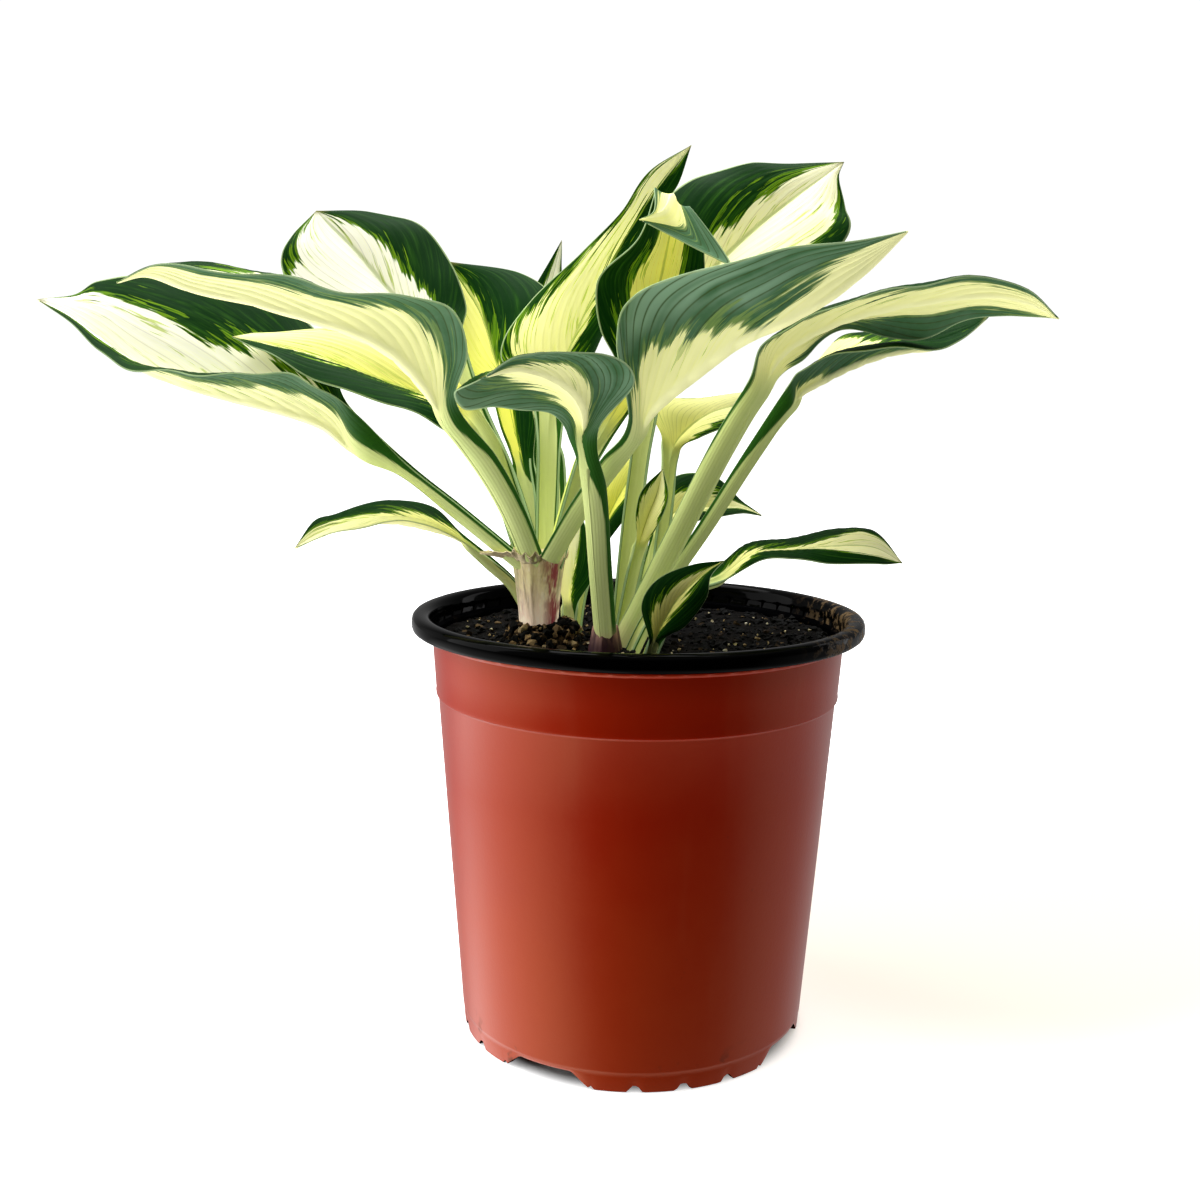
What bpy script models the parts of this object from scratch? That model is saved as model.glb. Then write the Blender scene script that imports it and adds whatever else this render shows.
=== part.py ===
"""A hosta in a round nursery pot: the pot, its soil, two sheathed shoots and one solid per leaf.

Lengths in the constants below are millimetres; the objects are built in metres, +Z up, standing on z = 0.
Leaf points are measured from the pot's axis.
"""

import bpy
import numpy as np

MM = 0.001

# Where the pot's axis stands, so that the whole plant's box is centred on the origin.
POT_X = 41.0
POT_Y = 19.0

# Pot.
POT_HEIGHT = 156.0
RIM_RADIUS = 82.5
BASE_RADIUS = 63.6
WALL = 1.2
BAND_HEIGHT = 127.0
FLOOR_HEIGHT = 7.4
FLOOR_THICKNESS = 1.2
FOOT_WIDTH = 3.0
FOOT_COUNT = 4
FOOT_FIRST_DEG = -73.0
FOOT_HALF_DEG = 29.5
GAP_HALF_DEG = 9.5
GAP_RISE = 5.6
NOTCH_PITCH_DEG = 15.3
NOTCH_RISE = 2.4

# Soil.
SOIL_TOP = 146.8
CLEARANCE = 0.3
MOUND_AT = (-33.0, -24.0)
MOUND_RADII = (9.0, 15.5)
MOUND_RISE = 7.6

# The two sheathed shoots: (centre x, centre y, bottom, top).
LEFT_SHOOT = (-35.0, -20.5, 154.8, 180.7)
RIGHT_SHOOT = (-11.0, -36.5, 147.2, 152.6)

# Leaves.
BLADE_THICKNESS = 1.2
STALK_THICKNESS = 2.4
BLADE_BULGE = 0.10
STALK_BULGE = -0.22
TIP_SHARE = 0.97

# Each leaf: the height its stalk starts at, the stalk's centre line, its half width at the bottom and
# at the blade, then the midrib with the two margins. The midrib's last point is the tip.
LEAVES = {
    "leaf_far_left": dict(
        foot=181.0,
        stem=[(-43, -27, 179), (-63, -27, 195), (-82, -24, 209)],
        wide=(2.8, 4.0),
        rib=[(-99, -22, 215), (-111, -20, 223), (-128, -17, 228), (-147, -13, 232),
            (-164, -8, 236), (-181, -3, 242), (-196, 2, 252), (-210, 6, 261), (-221, 8, 266)],
        left=[(-99, -28, 229), (-108, -33, 236), (-120, -36, 240), (-136, -36, 241),
            (-155, -30, 240), (-175, -22, 241), (-191, -12, 248), (-206, -2, 258)],
        right=[(-103, -14, 230), (-112, -2, 249), (-124, 4, 262), (-141, 8, 270), (-162, 12, 274),
            (-185, 15, 275), (-201, 16, 273), (-210, 13, 268)],
    ),
    "leaf_left_arch": dict(
        foot=181.0,
        stem=[(-38, -32, 181), (-44, -42, 198), (-52, -53, 214)],
        wide=(4.0, 5.6),
        rib=[(-63, -62, 230), (-69, -68, 239), (-76, -75, 247), (-86, -81, 253), (-102, -86, 258),
            (-117, -89, 262), (-133, -90, 265), (-146, -89, 269), (-156, -87, 267)],
        left=[(-58, -66, 233), (-53, -76, 248), (-57, -85, 260), (-68, -93, 264), (-87, -98, 265),
            (-104, -100, 268), (-123, -99, 270), (-140, -95, 272)],
        right=[(-67, -58, 235), (-72, -50, 250), (-80, -48, 260), (-96, -50, 264),
            (-109, -56, 270), (-123, -62, 273), (-138, -70, 274), (-147, -80, 272)],
    ),
    "leaf_mid_left": dict(
        foot=181.0,
        stem=[(-40, -20, 181), (-47, -19, 201), (-53, -19, 215)],
        wide=(2.4, 4.2),
        rib=[(-59, -19, 225), (-73, -19, 233), (-91, -18, 239), (-110, -16, 246), (-128, -15, 250),
            (-143, -15, 253)],
        left=[(-61, -26, 219), (-71, -32, 225), (-88, -36, 232), (-111, -34, 240),
            (-130, -25, 248)],
        right=[(-59, -14, 232), (-71, -10, 245), (-87, -7, 253), (-110, -7, 256), (-133, -9, 255)],
    ),
    "leaf_back_left": dict(
        foot=181.0,
        stem=[(-40, -14, 181), (-49, 0, 203), (-62, 14, 228)],
        wide=(2.4, 3.6),
        rib=[(-75, 26, 249), (-87, 34, 262), (-99, 41, 274), (-112, 47, 288), (-122, 50, 297),
            (-128, 52, 303)],
        left=[(-82, 24, 250), (-106, 26, 254), (-128, 32, 266), (-139, 39, 281), (-136, 46, 293)],
        right=[(-67, 22, 254), (-67, 30, 267), (-74, 42, 283), (-89, 54, 299), (-109, 60, 304)],
    ),
    "leaf_back_inner": dict(
        foot=181.0,
        stem=[(-38, -6, 182), (-40, 1, 194)],
        wide=(2.2, 3.0),
        rib=[(-43, 8, 208), (-47, 15, 221), (-51, 22, 235), (-56, 29, 248), (-61, 37, 262),
            (-69, 44, 275), (-76, 48, 284)],
        left=[(-47, 9, 208), (-52, 15, 221), (-58, 22, 236), (-72, 34, 244), (-79, 44, 260),
            (-81, 50, 275)],
        right=[(-39, 6, 209), (-39, 11, 222), (-41, 18, 236), (-34, 24, 250), (-32, 36, 267),
            (-48, 50, 280)],
    ),
    "leaf_tall": dict(
        foot=181.0,
        stem=[(-33, -18, 181), (-33, -12, 197), (-33, -6, 218)],
        wide=(2.8, 4.2),
        rib=[(-32, 0, 234), (-27, 5, 248), (-21, 11, 263), (-13, 17, 280), (-4, 23, 296),
            (7, 29, 313), (17, 33, 326)],
        left=[(-40, 0, 235), (-51, 3, 248), (-42, 9, 266), (-23, 15, 285), (-9, 21, 300),
            (4, 28, 314)],
        right=[(-26, 4, 235), (-17, 16, 250), (-8, 26, 269), (1, 34, 289), (4, 36, 302),
            (8, 35, 315)],
    ),
    "leaf_back_centre": dict(
        foot=181.0,
        stem=[(-31, -12, 182), (-32, -2, 196), (-34, 9, 208)],
        wide=(2.2, 2.6),
        rib=[(-36, 17, 221), (-38, 30, 237), (-38, 40, 254), (-36, 47, 274), (-32, 52, 293)],
        left=[(-41, 17, 221), (-53, 30, 234), (-54, 40, 254), (-42, 47, 275)],
        right=[(-32, 17, 222), (-24, 33, 235), (-23, 43, 256), (-31, 49, 276)],
    ),
    "leaf_front": dict(
        foot=152.9,
        stem=[(-11, -37, 151), (-13, -46, 177), (-15, -58, 205)],
        wide=(4.0, 6.0),
        rib=[(-17, -68, 224), (-18, -76, 232), (-22, -88, 238), (-29, -101, 242), (-36, -112, 243),
            (-43, -119, 241)],
        left=[(-13, -72, 225), (-2, -84, 240), (-11, -104, 247), (-24, -115, 248),
            (-34, -121, 247)],
        right=[(-23, -66, 224), (-30, -64, 230), (-43, -70, 232), (-53, -84, 231),
            (-53, -104, 236)],
    ),
    "leaf_right_big": dict(
        foot=181.0,
        stem=[(-29, -33, 181), (-19, -38, 198), (-8, -50, 214)],
        wide=(3.8, 5.2),
        rib=[(0, -60, 226), (6, -66, 233), (18, -73, 243), (30, -79, 252), (43, -84, 258),
            (55, -87, 265), (65, -88, 273), (76, -88, 284)],
        left=[(3, -54, 231), (6, -42, 250), (15, -42, 262), (29, -46, 269), (45, -54, 274),
            (57, -64, 277), (68, -76, 281)],
        right=[(-4, -64, 228), (-8, -76, 251), (-3, -88, 265), (13, -97, 271), (32, -102, 275),
            (48, -103, 279), (64, -98, 281)],
    ),
    "leaf_right_arch": dict(
        foot=147.1,
        stem=[(-3, -24, 152), (14, -25, 187), (29, -27, 218)],
        wide=(3.8, 4.6),
        rib=[(41, -28, 241), (48, -30, 251), (62, -32, 259), (78, -33, 264), (94, -34, 267),
            (112, -34, 269), (127, -32, 267), (138, -30, 262)],
        left=[(46, -22, 241), (56, -12, 248), (71, -8, 258), (86, -8, 256), (102, -9, 257),
            (118, -14, 263), (130, -22, 263)],
        right=[(36, -32, 241), (39, -44, 252), (50, -52, 260), (65, -56, 265), (83, -56, 270),
            (101, -52, 274), (123, -42, 271)],
    ),
    "leaf_right_under": dict(
        foot=147.1,
        stem=[(2, -11, 157), (22, -8, 186), (41, -4, 216)],
        wide=(2.5, 3.6),
        rib=[(54, 0, 234), (65, 3, 241), (78, 6, 247), (91, 8, 251), (106, 10, 253),
            (117, 10, 258), (124, 9, 264)],
        left=[(59, 8, 241), (73, 24, 255), (86, 32, 259), (101, 34, 261), (114, 28, 263),
            (121, 18, 264)],
        right=[(52, -5, 239), (56, -12, 245), (67, -16, 250), (82, -17, 251), (99, -12, 252),
            (113, -2, 256)],
    ),
    "leaf_top_right": dict(
        foot=147.1,
        stem=[(-6, -4, 151), (-3, 3, 185), (1, 12, 220)],
        wide=(2.6, 3.4),
        rib=[(6, 22, 248), (14, 31, 265), (26, 40, 281), (41, 48, 296), (58, 54, 310),
            (69, 57, 318), (77, 58, 324)],
        left=[(-1, 20, 250), (-6, 28, 271), (-2, 40, 295), (17, 54, 316), (40, 62, 323),
            (59, 63, 324)],
        right=[(13, 20, 251), (33, 20, 265), (57, 26, 276), (77, 40, 294), (77, 50, 307),
            (75, 56, 318)],
    ),
    "leaf_curl": dict(
        foot=181.0,
        stem=[(-28, -24, 182), (-21, -16, 207)],
        wide=(2.4, 3.6),
        rib=[(-12, -8, 224), (-3, 0, 240), (2, 6, 258), (6, 11, 275), (9, 12, 291), (10, 5, 302),
            (9, -5, 303), (6, -12, 297), (-2, -14, 294)],
        left=[(-16, -9, 228), (-8, -3, 242), (-15, -6, 257), (-16, -8, 273), (-4, -8, 286),
            (3, -2, 303), (3, -8, 305), (3, -14, 297)],
        right=[(-9, -6, 221), (3, 0, 238), (18, 2, 256), (22, 6, 273), (21, 9, 290), (16, 4, 300),
            (22, -6, 293), (16, -12, 288)],
    ),
    "leaf_small_yellow": dict(
        foot=147.1,
        stem=[(6, -1, 152), (8, 5, 174), (10, 12, 196)],
        wide=(2.0, 2.0),
        rib=[(12, 18, 214), (18, 24, 222), (27, 28, 228), (38, 30, 231), (47, 31, 233)],
        left=[(8, 20, 218), (3, 30, 231), (23, 38, 233), (39, 38, 236)],
        right=[(15, 19, 214), (22, 17, 219), (31, 18, 223), (42, 24, 227)],
    ),
    "leaf_small_upright": dict(
        foot=147.1,
        stem=[(-5, -17, 154), (-2, -15, 170)],
        wide=(1.8, 2.0),
        rib=[(0, -13, 182), (3, -12, 192), (6, -12, 200), (8, -12, 209)],
        left=[(-1, -14, 183), (-1, -15, 194), (1, -15, 202)],
        right=[(3, -14, 182), (8, -16, 192), (10, -15, 200)],
    ),
    "leaf_small_right": dict(
        foot=147.1,
        stem=[(1, 8, 152), (3, 13, 165)],
        wide=(1.8, 2.0),
        rib=[(6, 19, 182), (15, 24, 191), (26, 27, 192), (37, 29, 192), (47, 29, 189)],
        left=[(5, 22, 183), (12, 32, 202), (28, 37, 203), (40, 35, 194)],
        right=[(9, 16, 181), (19, 16, 187), (28, 19, 189), (39, 24, 190)],
    ),
    "leaf_low_front": dict(
        foot=147.1,
        stem=[(5, -44, 150)],
        wide=(1.8, 2.0),
        rib=[(6, -47, 154), (9, -52, 162), (13, -57, 170), (20, -62, 178), (27, -66, 184)],
        left=[(4, -47, 154), (1, -50, 166), (6, -56, 176), (17, -62, 182)],
        right=[(9, -49, 155), (16, -56, 161), (22, -62, 171), (23, -66, 179)],
    ),
    "leaf_low_right": dict(
        foot=147.1,
        stem=[(-1, -34, 149), (5, -33, 161), (14, -32, 168)],
        wide=(2.2, 2.2),
        rib=[(29, -33, 175), (38, -36, 182), (51, -38, 184), (65, -40, 186), (78, -41, 186),
            (88, -42, 181)],
        left=[(27, -28, 177), (37, -22, 184), (53, -18, 185), (69, -20, 189), (80, -28, 191)],
        right=[(30, -37, 174), (42, -46, 182), (52, -50, 183), (64, -52, 182), (79, -48, 181)],
    ),
    "leaf_low_left": dict(
        foot=147.1,
        stem=[(-39, -4, 155), (-44, -9, 166), (-52, -15, 175)],
        wide=(1.8, 1.8),
        rib=[(-61, -21, 184), (-73, -20, 188), (-88, -19, 190), (-102, -19, 188), (-113, -20, 184),
            (-121, -22, 180)],
        left=[(-60, -25, 183), (-72, -34, 190), (-85, -36, 191), (-100, -34, 189),
            (-112, -28, 184)],
        right=[(-63, -17, 186), (-74, -8, 194), (-91, -2, 196), (-109, -4, 190), (-116, -12, 189)],
    ),
    "leaf_young": dict(
        foot=147.1,
        stem=[(-25, -6, 151)],
        wide=(1.6, 1.8),
        rib=[(-25, -5, 159), (-24, -4, 169), (-22, -3, 180), (-21, -2, 191)],
        left=[(-27, -7, 159), (-29, -8, 170), (-27, -7, 181)],
        right=[(-22, -7, 159), (-16, -8, 170), (-18, -7, 183)],
    ),
    "leaf_low_back": dict(
        foot=147.1,
        stem=[(-23, 6, 149), (-21, 12, 163)],
        wide=(1.6, 1.8),
        rib=[(-16, 17, 178), (-11, 22, 190), (-5, 26, 201), (2, 30, 212)],
        left=[(-18, 17, 180), (-15, 24, 196), (-9, 30, 208)],
        right=[(-13, 17, 177), (-5, 18, 189), (1, 24, 200)],
    ),
}


def clear_scene():
    for obj in list(bpy.data.objects):
        bpy.data.objects.remove(obj, do_unlink=True)


def material(name, colour, roughness):
    made = bpy.data.materials.new(name)
    made.use_nodes = True
    shader = made.node_tree.nodes["Principled BSDF"]
    shader.inputs["Base Color"].default_value = (*colour, 1.0)
    shader.inputs["Roughness"].default_value = roughness
    return made


def add_object(name, points, faces, surface):
    """One object from points in millimetres from the pot's axis."""
    placed = (np.asarray(points, float) + (POT_X, POT_Y, 0.0)) * MM
    mesh = bpy.data.meshes.new(name)
    mesh.from_pydata(placed.tolist(), [], faces)
    mesh.materials.append(surface)
    mesh.validate()
    obj = bpy.data.objects.new(name, mesh)
    bpy.context.scene.collection.objects.link(obj)
    return obj


def unit(vector):
    return vector / max(np.linalg.norm(vector), 1e-9)


def tube_faces(rings, around):
    """Faces of a closed tube of rings, with flat ends."""
    faces = []
    for i in range(rings - 1):
        for j in range(around):
            k = (j + 1) % around
            a, b = i * around, (i + 1) * around
            faces.append((a + j, a + k, b + k, b + j))
    last = (rings - 1) * around
    faces.append(tuple(reversed(range(around))))
    faces.append(tuple(range(last, last + around)))
    return faces


# Pot


def pot_angles():
    """Angles round the pot, with a line at each corner of the feet and of their notches."""
    angles = set()
    for foot in range(FOOT_COUNT):
        centre = FOOT_FIRST_DEG + foot * 360.0 / FOOT_COUNT
        gap = 180.0 / FOOT_COUNT - GAP_HALF_DEG
        corners = [-45.0, -gap, -FOOT_HALF_DEG, FOOT_HALF_DEG, gap]
        for notch in (-1, 0, 1):
            at = notch * NOTCH_PITCH_DEG
            corners += [at - 2.4, at - 0.9, at + 0.9, at + 2.4]
        corners += [-22.5, -7.6, 7.6, 22.5, -40.0, 40.0]
        angles |= {round(centre + corner, 3) for corner in corners}
    return np.array(sorted(angles))


def foot_rise(angle):
    """Height of the pot's lower edge at this angle: zero on a foot, raised in a notch or a gap."""
    step = 360.0 / FOOT_COUNT
    off = abs((angle - FOOT_FIRST_DEG + step / 2) % step - step / 2)
    if off > FOOT_HALF_DEG:
        slope = step / 2 - GAP_HALF_DEG - FOOT_HALF_DEG
        return GAP_RISE * min(1.0, (off - FOOT_HALF_DEG) / slope)
    near = abs(off - NOTCH_PITCH_DEG * round(off / NOTCH_PITCH_DEG))
    return NOTCH_RISE * np.clip((2.4 - near) / 1.5, 0.0, 1.0)


def pot_profile(rise):
    """Radius and height round one cut of the pot, from the middle of the underside out, over the rim and back in."""
    band = BASE_RADIUS + 9.3
    top = POT_HEIGHT
    inner_base = BASE_RADIUS + 0.5 - WALL
    return [
        (BASE_RADIUS - FOOT_WIDTH - 0.4, FLOOR_HEIGHT),
        (BASE_RADIUS - FOOT_WIDTH, rise),
        (BASE_RADIUS, rise),
        (BASE_RADIUS + 0.5, FLOOR_HEIGHT),
        (band, BAND_HEIGHT - 0.6),
        (band + 0.8, BAND_HEIGHT + 0.4),
        (band + 2.6, top - 7.0),
        (RIM_RADIUS - 1.0, top - 6.4),
        (RIM_RADIUS, top - 4.8),
        (RIM_RADIUS - 0.3, top - 1.4),
        (RIM_RADIUS - 2.0, top),
        (RIM_RADIUS - 5.5, top - 0.2),
        (RIM_RADIUS - 7.0, top - 1.8),
        (RIM_RADIUS - 7.4, top - 8.0),
        (RIM_RADIUS - 8.8, top - 9.0),
        (band - WALL, BAND_HEIGHT - 1.0),
        (inner_base, FLOOR_HEIGHT + FLOOR_THICKNESS),
    ]


def build_pot(surface):
    angles = np.radians(pot_angles())
    points = []
    for angle in angles:
        profile = pot_profile(foot_rise(np.degrees(angle)))
        points += [(r * np.cos(angle), r * np.sin(angle), z) for r, z in profile]
    steps, count = len(angles), len(pot_profile(0.0))
    under = len(points)
    points += [(0.0, 0.0, FLOOR_HEIGHT), (0.0, 0.0, FLOOR_HEIGHT + FLOOR_THICKNESS)]
    faces = []
    for i in range(steps):
        a, b = i * count, ((i + 1) % steps) * count
        for j in range(count - 1):
            faces.append((a + j, b + j, b + j + 1, a + j + 1))
        faces.append((under, b, a))
        faces.append((under + 1, a + count - 1, b + count - 1))
    add_object("pot", points, faces, surface)


# Soil and shoots


def mound(x, y):
    """How far the soil rises round the left shoot."""
    away = np.hypot(x - MOUND_AT[0], y - MOUND_AT[1])
    share = np.clip((MOUND_RADII[1] - away) / (MOUND_RADII[1] - MOUND_RADII[0]), 0.0, 1.0)
    return MOUND_RISE * share * share * (3.0 - 2.0 * share)


def build_soil(surface):
    """The pot's whole filling, with a level top round one mound."""
    bottom = FLOOR_HEIGHT + FLOOR_THICKNESS + CLEARANCE
    low = BASE_RADIUS + 0.5 - WALL - CLEARANCE - 0.15
    high = BASE_RADIUS + 9.3 - WALL - CLEARANCE - 0.15
    levels = [(low, bottom), (high, BAND_HEIGHT - 1.2), (high + 1.0, SOIL_TOP - 0.6)]
    levels += [(high + 0.4, SOIL_TOP), (66.0, SOIL_TOP), (56.0, SOIL_TOP)]
    levels += [(48.0, SOIL_TOP), (41.0, SOIL_TOP), (34.0, SOIL_TOP), (27.0, SOIL_TOP), (18.0, SOIL_TOP)]
    around = 60
    points, faces = [], []
    for radius, height in levels:
        for step in range(around):
            angle = 2.0 * np.pi * step / around
            x, y = radius * np.cos(angle), radius * np.sin(angle)
            rise = mound(x, y) if height == SOIL_TOP else 0.0
            points.append((x, y, height + rise))
    add_object("potting_soil", points, tube_faces(len(levels), around), surface)


def build_shoot(name, place, profile, surface):
    """A sheathed shoot: an upright oval body. The profile is (share of height, half width, half depth)."""
    x0, y0, bottom, top = place
    around = 24
    points = []
    for share, wide, deep in profile:
        for step in range(around):
            angle = 2.0 * np.pi * step / around
            point = (x0 + wide * np.cos(angle), y0 + deep * np.sin(angle), bottom + share * (top - bottom))
            points.append(point)
    add_object(name, points, tube_faces(len(profile), around), surface)


# Leaves


def stalk_edges(stalk, neck_side, neck_along, wide):
    """The two edges of the stalk's channel, carried down from the blade without twist."""
    count = len(stalk)
    side = unit(neck_side)
    edges = []
    for i in reversed(range(count)):
        after = stalk[i + 1] if i + 1 < count else stalk[i] + neck_along
        before = stalk[i - 1] if i else stalk[i]
        along = unit(after - before)
        side = unit(side - side.dot(along) * along)
        up = np.cross(side, along)
        half = wide[0] + (wide[1] - wide[0]) * i / count
        edges.insert(0, (stalk[i] - half * side + 0.6 * half * up, stalk[i] + half * side + 0.6 * half * up))
    return edges


def leaf_stations(leaf):
    """Left edge, middle and right edge at each station from the stalk's foot to the blade's tip."""
    stalk = [np.array(point, float) for point in leaf["stem"]]
    rib = [np.array(point, float) for point in leaf["rib"]]
    left = [np.array(point, float) for point in leaf["left"]] + [rib[-1]]
    right = [np.array(point, float) for point in leaf["right"]] + [rib[-1]]
    foot = stalk[0] - unit(stalk[1] - stalk[0] if len(stalk) > 1 else rib[0] - stalk[0]) * (
        (stalk[0][2] - leaf["foot"]) / unit(stalk[1] - stalk[0] if len(stalk) > 1 else rib[0] - stalk[0])[2]
    )
    stalk[0] = foot
    edges = stalk_edges(stalk, right[0] - left[0], unit(rib[0] - stalk[-1]), leaf["wide"])
    stations = [(a, middle, b) for middle, (a, b) in zip(stalk, edges)]
    return np.array(stations + list(zip(left, rib, right)))


def through(values, knots, at):
    """Smooth curve through the values at the knots, read at one place."""
    i = int(np.clip(np.searchsorted(knots, at) - 1, 0, len(knots) - 2))
    slopes = []
    for j in (i, i + 1):
        a, b = max(j - 1, 0), min(j + 1, len(knots) - 1)
        slopes.append((values[b] - values[a]) / (knots[b] - knots[a]))
    span = knots[i + 1] - knots[i]
    t = (at - knots[i]) / span
    start = (2 * t**3 - 3 * t**2 + 1) * values[i] + (t**3 - 2 * t**2 + t) * span * slopes[0]
    return start + (3 * t**2 - 2 * t**3) * values[i + 1] + (t**3 - t**2) * span * slopes[1]


def leaf_ring(stations, knots, at, blade):
    """Points round one cut of a leaf: along its upper face from left to right, then back underneath."""
    step = 0.01 * knots[-1]
    left, middle, right = through(stations, knots, at)
    before = through(stations, knots, max(at - step, 0.0))[1]
    after = through(stations, knots, min(at + step, knots[-1]))[1]
    along = unit(after - before)
    bulge = STALK_BULGE + (BLADE_BULGE - STALK_BULGE) * blade
    thick = STALK_THICKNESS + (BLADE_THICKNESS - STALK_THICKNESS) * blade
    normals = [unit(np.cross(middle - left, along)), unit(np.cross(right - middle, along))]
    upright = unit(normals[0] + normals[1])
    upper, lower = [], []
    for share in (-1.0, -0.5, 0.0, 0.5, 1.0):
        edge, normal = (left, normals[0]) if share < 0 else (right, normals[1])
        part = abs(share)
        arch = 4.0 * part * (1.0 - part) * bulge * np.linalg.norm(edge - middle)
        point = middle + part * (edge - middle) + arch * normal
        down = upright if share == 0.0 else unit(normal + (1.0 - part) * upright)
        upper.append(point)
        lower.append(point - (thick * (1.0 - 0.25 * part)) * down)
    return upper + lower[::-1], along


def build_leaf(name, leaf, surface):
    stations = leaf_stations(leaf)
    middles = stations[:, 1]
    knots = np.concatenate([[0.0], np.cumsum(np.linalg.norm(np.diff(middles, axis=0), axis=1))])
    neck = knots[len(leaf["stem"])]
    places = []
    for i in range(len(knots) - 1):
        pieces = 2 if knots[i + 1] - knots[i] > 9.0 else 1
        places += [knots[i] + (knots[i + 1] - knots[i]) * j / pieces for j in range(pieces)]
    places.append(knots[-1] - (1.0 - TIP_SHARE) * (knots[-1] - neck))
    points = []
    for number, at in enumerate(places):
        blade = np.clip((at - neck) / (0.12 * (knots[-1] - neck)) + 0.5, 0.0, 1.0)
        ring, along = leaf_ring(stations, knots, at, blade)
        if number == 0:
            ring = [point + along * (leaf["foot"] - point[2]) / along[2] for point in ring]
        points += ring
    faces = tube_faces(len(places), 10)
    add_object(name, points, faces, surface)


def main():
    clear_scene()
    green = material("leaf", (0.10, 0.26, 0.06), 0.45)
    build_pot(material("pot_plastic", (0.42, 0.085, 0.035), 0.35))
    build_soil(material("soil", (0.03, 0.02, 0.015), 0.95))
    sheath = material("sheath", (0.55, 0.42, 0.32), 0.7)
    left = [(0.0, 6.6, 9.8), (0.35, 7.2, 11.0), (0.75, 8.4, 12.8), (0.92, 10.2, 14.2), (1.0, 9.8, 14.2)]
    build_shoot("shoot_left", LEFT_SHOOT, left, sheath)
    right = [(0.0, 6.2, 5.2), (0.5, 5.4, 4.8), (1.0, 4.6, 4.2)]
    build_shoot("shoot_right", RIGHT_SHOOT, right, sheath)
    for name, leaf in LEAVES.items():
        build_leaf(name, leaf, green)


main()
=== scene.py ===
import random
from math import atan2, cos, degrees, exp, hypot, pi, radians, sin, sqrt, tau
from types import SimpleNamespace

import bmesh
import bpy
import numpy as np
from mathutils import Matrix, Vector, noise


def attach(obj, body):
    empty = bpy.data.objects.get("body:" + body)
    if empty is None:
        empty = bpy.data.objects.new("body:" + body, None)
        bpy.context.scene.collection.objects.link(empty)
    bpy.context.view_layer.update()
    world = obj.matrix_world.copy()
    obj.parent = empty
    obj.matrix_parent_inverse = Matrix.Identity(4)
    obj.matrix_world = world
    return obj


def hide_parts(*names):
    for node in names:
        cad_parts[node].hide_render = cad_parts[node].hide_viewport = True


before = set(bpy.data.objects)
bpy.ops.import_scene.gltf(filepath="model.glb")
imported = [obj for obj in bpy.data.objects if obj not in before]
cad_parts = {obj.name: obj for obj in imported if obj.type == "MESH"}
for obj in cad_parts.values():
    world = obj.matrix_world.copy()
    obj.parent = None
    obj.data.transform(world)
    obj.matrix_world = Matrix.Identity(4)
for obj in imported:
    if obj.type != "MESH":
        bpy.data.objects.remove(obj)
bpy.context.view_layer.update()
print("frame loaded:", len(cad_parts), "nodes")

mm = 0.001
potAxis = Vector((0.041, 0.019, 0.0))  # pieces are shaped round the pot's axis, then moved here


class Wire:
    # one socket of a shader; + - * / and power add Math nodes
    def __init__(self, tree, socket=None):
        self.tree = tree
        self.socket = socket

    def node(self, kind, settings=None, inputs=None, out=0):
        made = self.tree.nodes.new("ShaderNode" + kind)
        for name, value in (settings or {}).items():
            if name == "stops":
                ramp = made.color_ramp
                while len(ramp.elements) < len(value):
                    ramp.elements.new(0.5)
                for stop, (place, colour) in zip(ramp.elements, value):
                    stop.position = place
                    stop.color = (*colour, 1.0)
            else:
                setattr(made, name, value)
        for name, value in (inputs or {}).items():
            if isinstance(value, Wire):
                self.tree.links.new(value.socket, made.inputs[name])
            else:
                made.inputs[name].default_value = value
        return Wire(self.tree, made.outputs[out])

    def maths(self, operation, *values):
        return self.node("Math", {"operation": operation}, dict(enumerate(values)))

    def __add__(self, other):
        return self.maths("ADD", self, other)

    def __sub__(self, other):
        return self.maths("SUBTRACT", self, other)

    def __rsub__(self, other):
        return self.maths("SUBTRACT", other, self)

    def __mul__(self, other):
        return self.maths("MULTIPLY", self, other)

    def __truediv__(self, other):
        return self.maths("DIVIDE", self, other)

    def __pow__(self, other):
        return self.maths("POWER", self, other)

    __radd__ = __add__
    __rmul__ = __mul__

    def size(self):
        return self.maths("ABSOLUTE", self)

    def sine(self):
        return self.maths("SINE", self)

    def larger(self, other):
        return self.maths("MAXIMUM", self, other)

    def step(self, low, high):  # 0 below low, 1 above high, eased between
        return self.node("MapRange", {"interpolation_type": "SMOOTHSTEP"},
                         {"Value": self, "From Min": low, "From Max": high})

    def mix(self, first, second, blend="MIX"):  # self is the share of the second colour
        first, second = (c if isinstance(c, Wire) else (*c, 1.0) for c in (first, second))
        return self.node("Mix", {"data_type": "RGBA", "blend_type": blend}, {0: self, 6: first, 7: second}, out=2)

    def attribute(self, name):
        return self.node("Attribute", {"attribute_name": name}, out=2)

    def place(self):
        return self.node("TexCoord", out=3)

    def split(self, vector):
        parts = self.node("SeparateXYZ", None, {0: vector}).socket.node.outputs
        return [Wire(self.tree, part) for part in parts]

    def joined(self, x, y, z):
        return self.node("CombineXYZ", None, {0: x, 1: y, 2: z})

    def noise(self, vector, scale, detail=3.0, roughness=0.55):
        return self.node("TexNoise", None, {
            "Vector": vector, "Scale": scale, "Detail": detail, "Roughness": roughness})

    def cells(self, vector, scale):
        return self.node("TexVoronoi", None, {"Vector": vector, "Scale": scale})

    def bump(self, height, strength, distance):
        return self.node("Bump", None, {"Strength": strength, "Distance": distance, "Height": height})


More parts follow.
